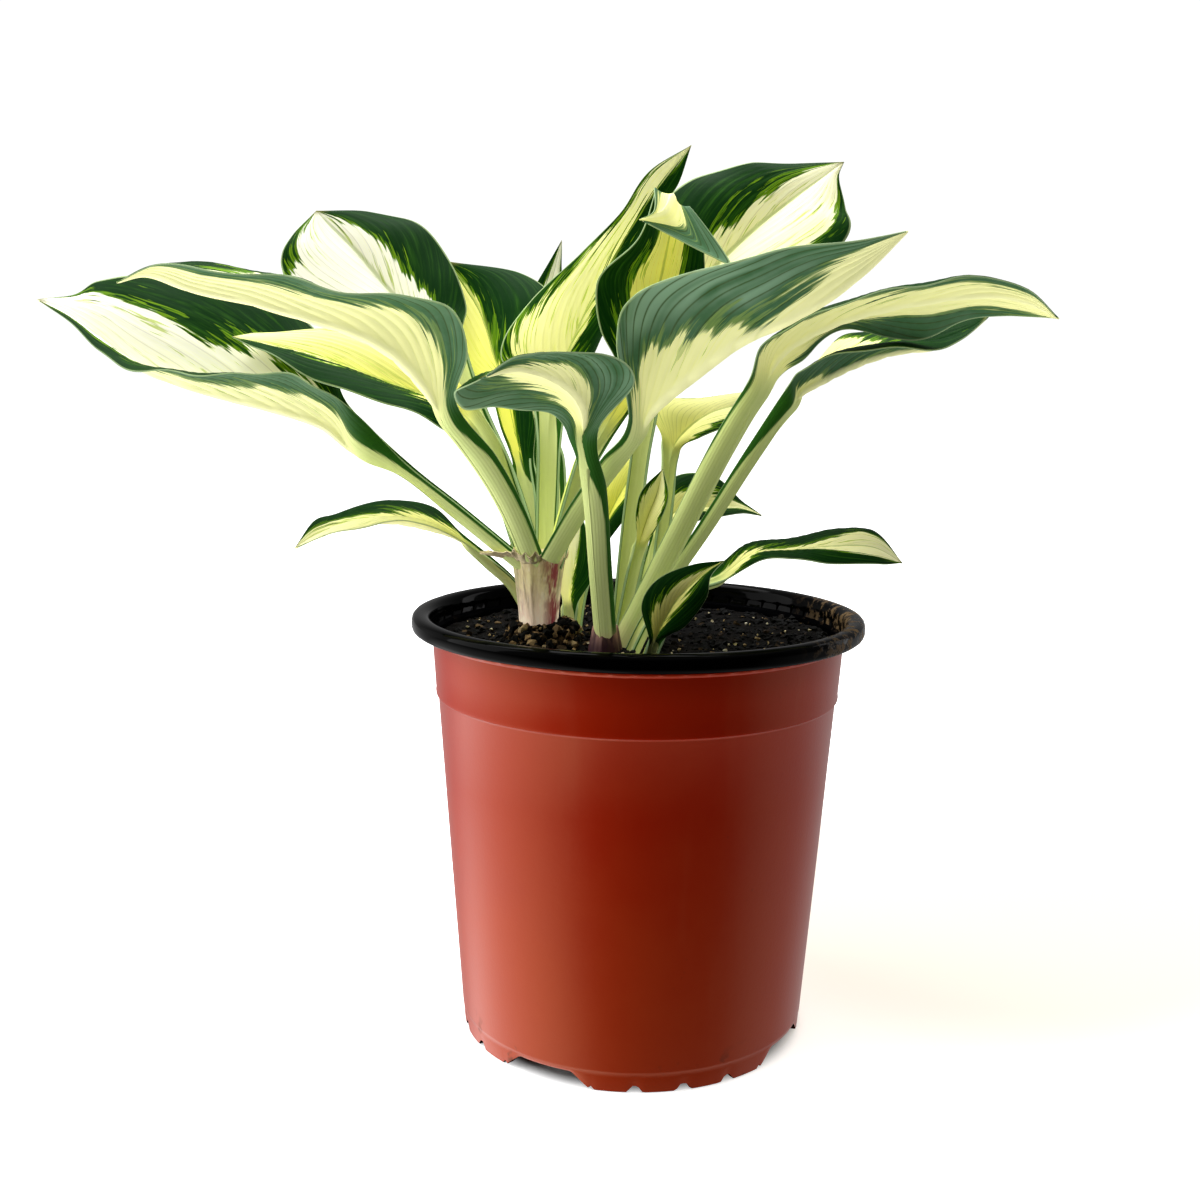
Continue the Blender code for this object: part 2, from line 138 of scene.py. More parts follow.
def newMaterial(name, fixed, shade):
    made = bpy.data.materials.new(name)
    made.use_nodes = True
    tree = made.node_tree
    shader = tree.nodes["Principled BSDF"]
    for socket, value in fixed.items():
        shader.inputs[socket].default_value = value
    for socket, wire in shade(Wire(tree)).items():
        tree.links.new(wire.socket, shader.inputs[socket])
    return made


def rgb(red, green, blue):  # screen colour, 0 to 255, to linear
    return tuple((c / 255 / 12.92) if c <= 10 else ((c / 255 + 0.055) / 1.055) ** 2.4 for c in (red, green, blue))


def eased(share):  # 0 to 1 with level ends
    return share * share * (3 - 2 * share)


def newObject(name, data):
    made = bpy.data.objects.new(name, data)
    bpy.context.scene.collection.objects.link(made)
    return made


def closeUp(bm):
    bmesh.ops.holes_fill(bm, edges=[edge for edge in bm.edges if edge.is_boundary], sides=0)
    bmesh.ops.recalc_face_normals(bm, faces=bm.faces)


def finishPiece(name, bm, materials, node, flat=False):
    mesh = bpy.data.meshes.new(name)
    bm.to_mesh(mesh)
    bm.free()
    mesh.transform(Matrix.Translation(potAxis))
    for material in materials:
        mesh.materials.append(material)
    for face in mesh.polygons:
        face.use_smooth = not flat
    piece = newObject(name, mesh)
    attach(piece, "root")
    if node:
        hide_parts(node)
    return piece


# leaf surface: a cream centre, then lime and dark green, drawn out along the veins
black = (0.0, 0.0, 0.0)
leafLook = {
    "creamWhite": rgb(252, 251, 232), "creamYellow": rgb(242, 238, 104), "creamStreak": rgb(176, 196, 66),
    "lime": rgb(112, 150, 22), "middle": rgb(46, 92, 18), "dark": rgb(8, 44, 8), "veinShade": rgb(20, 52, 12),
    "rib": rgb(150, 172, 70), "edge": rgb(176, 198, 140), "tip": rgb(120, 118, 60),
    "underCream": rgb(250, 249, 186), "underStraw": rgb(206, 212, 130), "underStreak": rgb(150, 172, 84),
    "underLime": rgb(128, 152, 74), "underDark": rgb(58, 94, 60), "underPale": rgb(118, 150, 120),
    "underVeinShade": rgb(18, 46, 22), "paleVeinShade": rgb(130, 150, 70), "dust": rgb(140, 162, 140),
    "underEdge": rgb(168, 190, 140),
    "stalk": rgb(206, 216, 140), "stalkLine": rgb(38, 84, 22), "stalkShade": rgb(166, 186, 104),
    "stalkLight": rgb(222, 228, 176), "stalkWarm": rgb(206, 210, 78), "stalkFoot": rgb(186, 148, 124),
    "veins": 8.5, "underGlow": 0.20,
}


def leafPattern(w, soft):
    # soft blurs the edge between cream and green
    along, across, vein = w.attribute("along"), w.attribute("across"), w.attribute("vein")
    zone, seed, mottle = w.attribute("zone"), w.attribute("seed"), w.attribute("mottle")
    wide = w.noise(w.joined(along * 0.20, vein * 4.0, seed), 1.0, 2.0)
    fine = w.noise(w.joined(along * 0.40, vein * 18.0, seed), 1.0, 3.0, 0.65)
    hair = w.noise(w.joined(along * 0.9, vein * 90.0, seed), 1.0, 2.0, 0.6)
    reach = zone + ((wide - 0.5) * 0.55 + (fine - 0.5) * 0.42) * mottle
    streak = (fine + zone.step(-0.5, 0.0) * 0.05 + (mottle - 1.0) * 0.06).step(0.60, 0.67)
    return SimpleNamespace(
        along=along, zone=zone, wide=wide, fine=fine, hair=hair,
        green=reach.step(-0.015 - soft, 0.015 + soft),
        deep=(reach - 0.09 + (fine - 0.5) * 0.70 + (hair - 0.5) * 0.1).step(-0.02 - soft, 0.03 + soft),
        streak=streak * zone.step(-0.6, -0.2),
        ridge=(vein * leafLook["veins"] * pi).sine().size(),
        middle=across.size(), edge=across.size().step(0.972, 0.992) * 0.6,
        stalkShare=w.attribute("stalkShare"), stalkLine=(zone + (fine - 0.5) * 0.2).step(-0.04, 0.05),
    )


def leafGlow(w, colour, more=0.0):
    # light through a leaf is stood for by a little of its own colour, less on the stalk
    share = w.attribute("glow") * (1 - w.attribute("stalkShare") * 0.7) + more
    return share.mix(black, colour)


def leafUpper(w):
    look, on = leafLook, leafPattern(w, 0.0)
    cream = w.attribute("warm").mix(look["creamWhite"], look["creamYellow"])
    cream = ((on.hair - 0.40) * 0.6).mix(cream, look["creamYellow"])
    cream = (on.streak * 0.8).mix(cream, look["creamStreak"])
    lime = on.hair.step(0.35, 0.65).mix(look["lime"], look["middle"])
    dark = on.fine.step(0.46, 0.90).mix(look["dark"], look["middle"])
    body = on.deep.mix(on.green.mix(cream, lime), dark)
    # painted shade darkens the vein grooves
    veinShade = 1 - on.ridge.step(0.0, 0.35)
    body = (veinShade * 0.22).mix(body, look["veinShade"])
    rib = 1 - on.middle.step(0.015, 0.05)
    body = (rib * 0.5).mix(body, look["rib"])
    colour = on.stalkShare.mix(body, on.stalkLine.mix(look["stalk"], look["stalkLine"]))
    colour = on.edge.mix(colour, look["edge"])
    colour = (w.attribute("tipShare") * 0.8).mix(colour, look["tip"])
    return {"Base Color": colour, "Emission Color": leafGlow(w, colour), "Roughness": 0.42 + on.hair * 0.14,
            "Normal": w.bump(on.hair * 0.25 + on.ridge * 0.5, 0.25, 0.0004)}


def leafUnder(w):
    look, on = leafLook, leafPattern(w, 0.02)
    warm = w.attribute("warm")
    cream = (warm * 0.5).mix(look["underCream"], look["creamYellow"])
    cream = ((on.hair - 0.40) * 0.6).mix(cream, look["underStraw"])
    cream = (on.streak * 0.55).mix(cream, look["underStreak"])
    lime = on.hair.mix(look["underLime"], look["underDark"])
    pale = on.wide.step(0.30, 0.6) * on.zone.step(0.10, 0.40) * w.attribute("bloom")
    dark = pale.mix(look["underDark"], look["underPale"])
    body = on.deep.mix(on.green.mix(cream, lime), dark)
    # painted shade in the vein grooves: strong on the green, slight on the cream
    veinShade = 1 - on.ridge.step(0.0, 0.5)
    body = (veinShade * 0.85 * on.deep).mix(body, look["underVeinShade"])
    body = (veinShade * 0.12).mix(body, look["paleVeinShade"])
    dust = w.noise(w.place(), 120.0, 3.0).step(0.35, 0.75)
    body = (dust * 0.10).mix(body, look["dust"])
    rib = 1 - on.middle.step(0.03, 0.09)
    body = (rib * 0.75).mix(body, look["underCream"])
    stalk = (on.wide * 0.6).mix(look["stalk"], look["stalkShade"])
    stalk = (on.hair.step(0.4, 0.8) * 0.3).mix(stalk, look["stalkLight"])
    stalk = (warm.step(0.8, 0.9) * 0.5).mix(stalk, look["stalkWarm"])
    stalk = on.stalkLine.mix(stalk, look["stalkLine"])
    foot = 1 - on.along.step(0.2, 1.6)
    stalk = (foot * w.attribute("flush")).mix(stalk, look["stalkFoot"])
    colour = on.edge.mix(on.stalkShare.mix(body, stalk), look["underEdge"])
    return {"Base Color": colour, "Emission Color": leafGlow(w, colour, look["underGlow"]),
            "Roughness": 0.50 + on.hair * 0.14, "Normal": w.bump(on.hair * 0.3 + on.ridge * 0.8, 0.25, 0.0004)}


leafTop = newMaterial("leafTop", {"IOR": 1.2, "Specular IOR Level": 0.10, "Emission Strength": 1.0}, leafUpper)
leafBack = newMaterial("leafBack", {"IOR": 1.2, "Specular IOR Level": 0.25, "Emission Strength": 1.0}, leafUnder)

# each leaf, in millimetres: stem is its stalk and wide the stalk's half width at foot and blade; rib is the midrib,
# with left and right as the blade's margins. cream is where the pale centre starts and ends across the blade, -1 to 1,
# at five places from neck to tip, and lines the same on the stalk. warm is how yellow the cream is, glow the light let
# through, mottle how ragged the green is, bloom its pale cast below, flush the reddish foot, sunk its depth in a shoot
leaves = {
    "leaf_far_left": dict(
        cream=((-0.45, -0.42, -0.25, -0.4, -0.7), (0.3, 0.34, 0.48, 0.6, 0.95)),
        warm=0.0, lines=(-0.82, 0.82), glow=0.1,
        stem=[(-43, -27, 179), (-63, -27, 195), (-82, -24, 209)], wide=(2.8, 4.0),
        rib=[(-99, -22, 215), (-111, -20, 223), (-128, -17, 228), (-147, -13, 232), (-164, -8, 236), (-181, -3, 242),
            (-196, 2, 252), (-210, 6, 261), (-221, 8, 266)],
        left=[(-99, -28, 229), (-108, -33, 236), (-120, -36, 240), (-136, -36, 241), (-155, -30, 240),
            (-175, -22, 241), (-191, -12, 248), (-206, -2, 258)],
        right=[(-103, -14, 230), (-112, -2, 249), (-124, 4, 262), (-141, 8, 270), (-162, 12, 274), (-185, 15, 275),
            (-201, 16, 273), (-210, 13, 268)]),
    "leaf_left_arch": dict(
        cream=((-0.5, -0.58, -0.52, -0.62, -0.7), (1.0, 0.8, 0.6, 0.5, 0.5)), warm=0.25, lines=(-0.8, 1.0), glow=0.25,
        stem=[(-38, -32, 181), (-44, -42, 198), (-52, -53, 214)], wide=(4.0, 5.6),
        rib=[(-63, -62, 230), (-69, -68, 239), (-76, -75, 247), (-86, -81, 253), (-102, -86, 258), (-117, -89, 262),
            (-133, -90, 265), (-146, -89, 269), (-156, -87, 267)],
        left=[(-58, -66, 233), (-53, -76, 248), (-57, -85, 260), (-68, -93, 264), (-87, -98, 265), (-104, -100, 268),
            (-123, -99, 270), (-140, -95, 272)],
        right=[(-67, -58, 235), (-72, -50, 250), (-80, -48, 260), (-96, -50, 264), (-109, -56, 270),
            (-123, -62, 273), (-138, -70, 274), (-147, -80, 272)]),
    "leaf_mid_left": dict(
        cream=((-0.4, -0.3, -0.12, -0.02, -0.6), (1.2, 1.2, 1.2, 1.1, 1.1)), warm=0.7, glow=0.12, mottle=2.5,
        stem=[(-40, -20, 181), (-47, -19, 201), (-53, -19, 215)], wide=(3.4, 4.8),
        rib=[(-59, -19, 225), (-73, -19, 233), (-91, -18, 239), (-110, -16, 246), (-128, -15, 250), (-143, -15, 253)],
        left=[(-61, -26, 219), (-71, -32, 225), (-88, -36, 232), (-111, -34, 240), (-130, -25, 248)],
        right=[(-59, -14, 232), (-71, -10, 245), (-87, -7, 253), (-110, -7, 256), (-133, -9, 255)]),
    "leaf_back_left": dict(
        cream=((-1.2, -1.1, -0.97, -0.76, -0.7), (0.8, 0.5, 0.28, 0.26, 0.2)), warm=-0.15, lines=(-0.6, 0.5),
        stem=[(-40, -14, 181), (-49, 0, 203), (-62, 14, 228)], wide=(4.0, 4.6),
        rib=[(-75, 26, 249), (-87, 34, 262), (-99, 41, 274), (-112, 47, 288), (-122, 50, 297), (-128, 52, 303)],
        left=[(-82, 24, 250), (-106, 26, 254), (-128, 32, 266), (-139, 39, 281), (-136, 46, 293)],
        right=[(-67, 22, 254), (-67, 30, 267), (-74, 42, 283), (-89, 54, 299), (-109, 60, 304)]),
    "leaf_back_inner": dict(
        cream=((-0.7, -0.8, -0.9, -0.95, -0.9), (-0.1, 0.1, 0.04, -0.02, -0.02)),
        warm=0.85, lines=(-0.5, 0.6), glow=0.3,
        stem=[(-38, -6, 182), (-40, 1, 194)], wide=(5.5, 7.5),
        rib=[(-43, 8, 208), (-47, 15, 221), (-51, 22, 235), (-56, 29, 248), (-61, 37, 262), (-69, 44, 275),
            (-76, 48, 284)],
        left=[(-47, 9, 208), (-52, 15, 221), (-58, 22, 236), (-72, 34, 244), (-79, 44, 260), (-81, 50, 275)],
        right=[(-39, 6, 209), (-39, 11, 222), (-41, 18, 236), (-34, 24, 250), (-32, 36, 267), (-48, 50, 280)]),
    "leaf_tall": dict(
        cream=((-0.7, -0.78, -0.75, -0.8, -0.75), (0.35, 0.15, -0.02, -0.2, 0.35)),
        warm=0.5, lines=(-0.8, 0.8), glow=0.38, mottle=1.7,
        stem=[(-33, -18, 181), (-33, -12, 197), (-33, -6, 218)], wide=(2.8, 4.2),
        rib=[(-32, 0, 234), (-27, 5, 248), (-21, 11, 263), (-13, 17, 280), (-4, 23, 296), (7, 29, 313), (17, 33, 326)],
        left=[(-40, 0, 235), (-51, 3, 248), (-42, 9, 266), (-23, 15, 285), (-9, 21, 300), (1.5, 26, 315.5)],
        right=[(-26, 4, 235), (-17, 16, 250), (-8, 26, 269), (1, 34, 289), (4, 36, 302), (12, 31, 311)]),
    "leaf_back_centre": dict(
        cream=((-0.4, -0.5, -0.5, -0.4, -0.35), (0.2, 0.2, 0.3, 0.6, 0.9)), warm=0.1, lines=(-0.5, 0.5),
        stem=[(-31, -12, 182), (-32, -2, 196), (-34, 9, 208)], wide=(4.5, 6.5),
        rib=[(-36, 17, 221), (-38, 30, 237), (-38, 40, 254), (-36, 47, 274), (-32, 52, 293)],
        left=[(-41, 17, 221), (-53, 30, 234), (-54, 40, 254), (-42, 47, 275)],
        right=[(-32, 17, 222), (-24, 33, 235), (-23, 43, 256), (-31, 49, 276)]),
    "leaf_front": dict(
        cream=((-0.1, -0.2, -0.32, -0.24, -0.16), (0.45, 0.56, 0.48, 0.36, 0.25)),
        warm=0.3, lines=(-0.6, 0.9), bloom=0.5, flush=0.9,
        stem=[(-11, -37, 151), (-13, -46, 177), (-15, -58, 205)], wide=(3.1, 3.5),
        rib=[(-17, -68, 224), (-18, -76, 232), (-22, -88, 238), (-29, -101, 242), (-36, -112, 243), (-43, -119, 241)],
        left=[(-13, -72, 225), (-2, -84, 240), (-11, -104, 247), (-24, -115, 248), (-34, -121, 247)],
        right=[(-23, -66, 224), (-30, -64, 230), (-43, -70, 232), (-53, -84, 231), (-53, -104, 236)]),
    "leaf_right_big": dict(
        cream=((-1.0, -0.9, -0.8, -0.75, -0.85), (0.75, 0.34, 0.1, 0.42, 0.92)),
        warm=0.3, lines=(-0.97, 0.86), glow=0.12, bloom=1.0, sunk=2.0,
        stem=[(-29, -33, 181), (-19, -38, 198), (-8, -50, 214)], wide=(3.8, 5.2),
        rib=[(0, -60, 226), (6, -66, 233), (18, -73, 243), (30, -79, 252), (43, -84, 258), (55, -87, 265),
            (65, -88, 273), (76, -88, 284)],
        left=[(3, -54, 231), (6, -42, 250), (15, -42, 262), (29, -46, 269), (45, -54, 274), (57, -64, 277),
            (68, -76, 281)],
        right=[(-4, -64, 228), (-8, -76, 251), (-3, -88, 265), (13, -97, 271), (32, -102, 275), (48, -103, 279),
            (64, -98, 281)]),
    "leaf_right_arch": dict(
        cream=((-1.0, -0.8, -0.42, -0.72, -0.9), (0.8, 0.5, 0.36, 0.35, 0.45)),
        warm=0.45, lines=(-0.8, 0.95), glow=0.08, bloom=0.0, flush=0.3,
        stem=[(-3, -24, 152), (14, -25, 187), (29, -27, 218)], wide=(3.8, 4.6),
        rib=[(41, -28, 241), (48, -30, 251), (62, -32, 259), (78, -33, 264), (94, -34, 267), (112, -34, 269),
            (127, -32, 267), (138, -30, 262)],
        left=[(46, -22, 241), (56, -12, 248), (71, -8, 258), (86, -8, 256), (102, -9, 257), (118, -14, 263),
            (130, -22, 263)],
        right=[(36, -32, 241), (39, -44, 252), (50, -52, 260), (65, -56, 265), (83, -56, 270), (101, -52, 274),
            (123, -42, 271)]),
    "leaf_right_under": dict(
        cream=((-1.0, -0.75, -0.12, 0.1, 0.1), (0.35, 0.0, 0.05, 0.0, 0.0)),
        warm=0.5, lines=(-0.95, 0.8), bloom=0.1, flush=0.25,
        stem=[(2, -11, 157), (22, -8, 186), (41, -4, 216)], wide=(2.5, 3.6),
        rib=[(54, 0, 234), (65, 3, 241), (78, 6, 247), (91, 8, 251), (106, 10, 253), (117, 10, 258), (124, 9, 264)],
        left=[(59, 8, 241), (73, 24, 255), (86, 32, 259), (101, 34, 261), (114, 28, 263), (121, 18, 264)],
        right=[(52, -5, 239), (56, -12, 245), (67, -16, 250), (82, -17, 251), (99, -12, 252), (113, -2, 256)]),
    "leaf_top_right": dict(
        cream=((-0.1, -0.16, -0.25, -0.3, -0.45), (0.8, 0.78, 0.7, 0.68, 0.9)), warm=0.35, glow=0.12,
        stem=[(-6, -4, 151), (-3, 3, 185), (1, 12, 220)], wide=(2.6, 3.4),
        rib=[(6, 22, 248), (14, 31, 265), (26, 40, 281), (41, 48, 296), (58, 54, 310), (69, 57, 318), (77, 58, 324)],
        left=[(-1, 20, 250), (-6, 28, 271), (-2, 40, 295), (17, 54, 316), (40, 62, 323), (59, 63, 324)],
        right=[(13, 20, 251), (33, 20, 265), (57, 26, 276), (77, 40, 294), (77, 50, 307), (75, 56, 318)]),
    "leaf_curl": dict(
        cream=((-0.85, -0.6, -0.5, -0.5, -0.95), (0.8, 0.6, 0.45, 0.38, 0.3)), warm=0.85, glow=0.22,
        stem=[(-28, -24, 182), (-21, -16, 207)], wide=(2.4, 3.6),
        rib=[(-12, -8, 224), (-3, 0, 240), (2, 6, 258), (6, 11, 275), (9, 12, 291), (10, 5, 302), (9, -5, 303),
            (6, -12, 297), (-2, -14, 294)],
        left=[(-16, -9, 228), (-8, -3, 242), (-15, -6, 257), (-16, -8, 273), (-4, -8, 286), (3, -2, 303),
            (3, -8, 305), (3, -14, 297)],
        right=[(-9, -6, 221), (3, 0, 238), (18, 2, 256), (22, 6, 273), (21, 9, 290), (16, 4, 300), (30, -3, 281),
            (22, -9, 283)]),
    "leaf_small_yellow": dict(
        cream=((-1.1, -1, -0.95, -0.9, -0.85), (0.98, 0.86, 0.72, 0.6, 0.55)), warm=0.55,
        stem=[(6, -1, 152), (8, 5, 174), (10, 12, 196)], wide=(2.0, 2.0),
        rib=[(12, 18, 214), (18, 24, 222), (27, 28, 228), (38, 30, 231), (47, 31, 233)],
        left=[(8, 20, 218), (3, 30, 231), (23, 38, 233), (39, 38, 236)],
        right=[(15, 19, 214), (22, 17, 219), (31, 18, 223), (42, 24, 227)]),
    "leaf_small_upright": dict(
        cream=((-1.1, -0.95, -0.82, -0.68, -0.6), (1.0, 0.9, 0.74, 0.72, 0.7)), warm=0.55,
        stem=[(-5, -17, 154), (-2, -15, 170)], wide=(1.8, 2.0),
        rib=[(0, -13, 182), (3, -12, 192), (6, -12, 200), (8, -12, 209)],
        left=[(-1, -14, 183), (-1, -15, 194), (1, -15, 202)], right=[(3, -14, 182), (8, -16, 192), (10, -15, 200)]),
    "leaf_small_right": dict(
        cream=((-0.6, -0.5, -0.45, -0.35, -0.3), (0.5, 0.5, 0.45, 0.4, 0.4)), warm=0.5,
        stem=[(1, 8, 152), (3, 13, 165)], wide=(1.8, 2.0),
        rib=[(6, 19, 182), (15, 24, 191), (26, 27, 192), (37, 29, 192), (47, 29, 189)],
        left=[(5, 22, 183), (12, 32, 202), (28, 37, 203), (40, 35, 194)],
        right=[(9, 16, 181), (19, 16, 187), (28, 19, 189), (39, 24, 190)]),
    "leaf_low_front": dict(
        cream=((-0.4, -0.42, -0.34, -0.3, -0.2), (0.05, 0.14, 0.22, 0.3, 0.4)), warm=0.75, glow=0.02,
        stem=[(5, -44, 150)], wide=(1.8, 2.0),
        rib=[(6, -47, 154), (9, -52, 162), (13, -57, 170), (20, -62, 178), (27, -66, 184)],
        left=[(4, -47, 154), (1, -50, 166), (6, -56, 176), (17, -62, 182)],
        right=[(9, -49, 155), (16, -56, 161), (22, -62, 171), (23, -66, 179)]),
    "leaf_low_right": dict(
        cream=((-0.3, -0.15, -0.1, -0.45, -0.35), (0.9, 0.25, 0.2, 0.5, 0.75)), warm=0.45, glow=0.14,
        stem=[(-1, -34, 149), (5, -33, 161), (14, -32, 168)], wide=(2.2, 2.2),
        rib=[(29, -33, 175), (38, -36, 182), (51, -38, 184), (65, -40, 186), (78, -41, 186), (88, -42, 181)],
        left=[(27, -28, 177), (37, -22, 184), (53, -18, 185), (69, -20, 189), (80, -28, 191)],
        right=[(30, -37, 174), (42, -46, 182), (52, -50, 183), (64, -52, 182), (79, -48, 181)]),
    "leaf_low_left": dict(
        cream=((-1.2, -1.2, -1.1, -1.1, -1), (0.28, 0.25, 0.2, 0.3, 0.5)), warm=0.5, lines=(-0.9, 0.5), glow=-0.1,
        stem=[(-39, -4, 155), (-44, -9, 166), (-52, -15, 175)], wide=(1.8, 1.8),
        rib=[(-61, -21, 184), (-73, -20, 188), (-88, -19, 190), (-102, -19, 188), (-113, -20, 184), (-121, -22, 180)],
        left=[(-60, -25, 183), (-72, -34, 190), (-85, -36, 191), (-100, -34, 189), (-112, -28, 184)],
        right=[(-63, -17, 186), (-74, -8, 194), (-91, -2, 196), (-109, -4, 190), (-116, -12, 189)]),
    "leaf_young": dict(
        cream=((-1.2, -1.2, -1.2, -1.1, -1), (0.25, 0.05, 0.0, 0.02, 0.1)), warm=0.5, glow=0.6,
        stem=[(-25, -6, 151)], wide=(1.6, 1.8),
        rib=[(-25, -5, 159), (-24, -4, 169), (-22, -3, 180), (-21, -2, 191)],
        left=[(-27, -7, 159), (-29, -8, 170), (-27, -7, 181)], right=[(-22, -7, 159), (-16, -8, 170), (-18, -7, 183)]),
    "leaf_low_back": dict(
        cream=((-0.85, -0.8, -0.85, -0.8, -0.8), (0.2, 0.15, 0.3, 0.5, 0.5)), warm=0.9,
        stem=[(-23, 6, 149), (-21, 12, 163)], wide=(1.6, 1.8),
        rib=[(-16, 17, 178), (-11, 22, 190), (-5, 26, 201), (2, 30, 212)],
        left=[(-18, 17, 180), (-15, 24, 196), (-9, 30, 208)], right=[(-13, 17, 177), (-5, 18, 189), (1, 24, 200)]),
}

leafShape = {
    # what a leaf has when its own entry leaves it out
    "usual": {"lines": (-0.88, 0.88), "glow": 0.05, "mottle": 1.0, "bloom": 0.3, "flush": 0.0, "sunk": 7.0},
    "bladeThick": 0.55, "ribThick": 1.9, "ribHalf": 0.07, "stalkThick": 3.2, "bulge": 0.12, "channel": -0.24,
    "opening": 0.14, "openBefore": 0.45,  # how much of the blade the stalk opens over, and its start before the neck
    "veinDepth": 0.36, "veinFull": 14.0, "ripple": 1.0, "rippleFull": 22.0,  # full where the half blade is this wide
    "waves": (7.5, 3.9), "tipFrom": 0.965, "tipOver": 0.03,
    "largeFrom": 70.0, "largeGrid": (150, 69), "smallGrid": (96, 37),
}


def curveThrough(points, knots, at):
    # smooth curve through the points, read at many places
    slopes = np.empty_like(points)
    for i in range(len(knots)):
        a, b = max(i - 1, 0), min(i + 1, len(knots) - 1)
        slopes[i] = (points[b] - points[a]) / (knots[b] - knots[a])
    i = np.clip(np.searchsorted(knots, at) - 1, 0, len(knots) - 2)
    span = (knots[i + 1] - knots[i])[:, None]
    t = (at[:, None] - knots[i][:, None]) / span
    return ((2 * t**3 - 3 * t**2 + 1) * points[i] + (t**3 - 2 * t**2 + t) * span * slopes[i]
            + (3 * t**2 - 2 * t**3) * points[i + 1] + (t**3 - t**2) * span * slopes[i + 1])


def unit(vectors):
    return vectors / np.maximum(np.linalg.norm(vectors, axis=-1, keepdims=True), 1e-9)


def leafStations(leaf):
    # left edge, middle and right edge from the foot of the stalk to the tip
    keys = ("stem", "rib", "left", "right")
    stem, rib, left, right = ([np.array(point, float) for point in leaf[key]] for key in keys)
    stem[0] = stem[0] - unit((stem + rib)[1] - stem[0]) * leaf["sunk"]
    side = unit(right[0] - left[0])
    edges = []
    for i in reversed(range(len(stem))):
        after = (stem + rib)[i + 1]
        along = unit(after - stem[max(i - 1, 0)])
        side = unit(side - side.dot(along) * along)
        up = np.cross(side, along)
        half = leaf["wide"][0] + (leaf["wide"][1] - leaf["wide"][0]) * i / len(stem)
        edges.insert(0, (stem[i] - half * side + 0.6 * half * up, stem[i] + half * side + 0.6 * half * up))
    left = [a for a, b in edges] + left + [rib[-1]]
    right = [b for a, b in edges] + right + [rib[-1]]
    return np.array(left), np.array(stem + rib), np.array(right)


def leafSheet(leaf, number, rows, columns):
    # the leaf's upper face as rows along it and columns across, with what the material reads
    shape = leafShape
    left, middle, right = leafStations(leaf)
    knots = np.concatenate([[0.0], np.cumsum(np.linalg.norm(np.diff(middle, axis=0), axis=1))])
    neck, end = knots[len(leaf["stem"])], knots[-1]
    at = np.linspace(0, 1, rows) * end
    left, middle, right = (curveThrough(points, knots, at) for points in (left, middle, right))
    along = unit(np.gradient(middle, axis=0))
    blade = eased(np.clip((at - neck) / (shape["opening"] * (end - neck)) + shape["openBefore"], 0, 1)[:, None])
    v = np.linspace(-1.0, 1.0, columns)
    share = np.abs(v)[None, :, None]
    reach = np.where(v[None, :, None] < 0, left[:, None], right[:, None]) - middle[:, None]
    across = np.where(v[None, :, None] < 0, -reach, reach)
    normal = unit(np.cross(across, along[:, None]))
    width = np.linalg.norm(reach, axis=-1, keepdims=True)

    # a trough in the stalk, a bulge in the blade, then the veins and a rippled margin
    arch = shape["channel"] + (shape["bulge"] - shape["channel"]) * blade
    lift = 4.0 * share * (1 - share) * arch[:, None] * width
    u = np.clip((at - neck) / (end - neck), 0, 1)
    fade = (np.minimum(1, u * 6.0) * np.minimum(1, (1 - u) * 5.0))[:, None, None]
    vein = np.abs(v)[None, :] - (1 - (1 - u[:, None]) ** 1.8)
    veins = -np.abs(np.sin(vein[..., None] * leafLook["veins"] * pi)) ** 0.7
    lift = lift + fade * shape["veinDepth"] * veins * np.minimum(1, width / shape["veinFull"]) * (1 - share ** 6)
    phase = number * 1.7
    wave = np.sin(at / shape["waves"][0] + phase) + 0.6 * np.sin(at / shape["waves"][1] + 2.1 * phase)
    wave = wave[:, None, None] * np.where(v < 0, 1.0, -0.8)[None, :, None]
    lift = lift + fade * shape["ripple"] * wave * share ** 3 * np.minimum(1, width / shape["rippleFull"])
    sheet = middle[:, None] + share * reach + lift * normal

    # above 0 is green: outside the cream on the blade, outside the lines on the stalk
    places = np.linspace(0, 1, 5)
    onBlade = eased(np.clip(at / neck * 2.6 - 1.6, 0, 1))
    starts, ends = (np.interp(u, places, cream) * onBlade + (1 - onBlade) * line
                    for cream, line in zip(leaf["cream"], leaf["lines"]))
    zone = np.maximum(starts[:, None] - v[None, :], v[None, :] - ends[:, None])
    stalkShare = np.repeat(1 - blade, columns, axis=1)
    stalk = stalkShare * shape["stalkThick"] * (1 - 0.75 * np.abs(v)[None, :])
    rib = shape["ribThick"] * (1 - 0.7 * u)[:, None] * np.exp(-((v[None, :] / shape["ribHalf"]) ** 2))
    flesh = np.maximum(stalk, np.maximum(rib, shape["bladeThick"] - 0.15 * np.abs(v)[None, :]))
    reads = {
        "along": (at / 10.0)[:, None], "across": v[None, :], "zone": zone, "stalkShare": stalkShare,
        "vein": vein + np.where(v[None, :] < 0, 4.0, 0.0),  # the halves differ
        "tipShare": np.clip((u - shape["tipFrom"]) / shape["tipOver"], 0, 1)[:, None],
        "warm": np.clip(leaf["warm"] + 0.25 - 0.4 * u, 0, 1)[:, None], "seed": number * 3.7,
        "flush": leaf["flush"], "glow": leaf["glow"], "mottle": leaf["mottle"], "bloom": leaf["bloom"],
    }
    return sheet, flesh, {key: np.broadcast_to(values, zone.shape) for key, values in reads.items()}


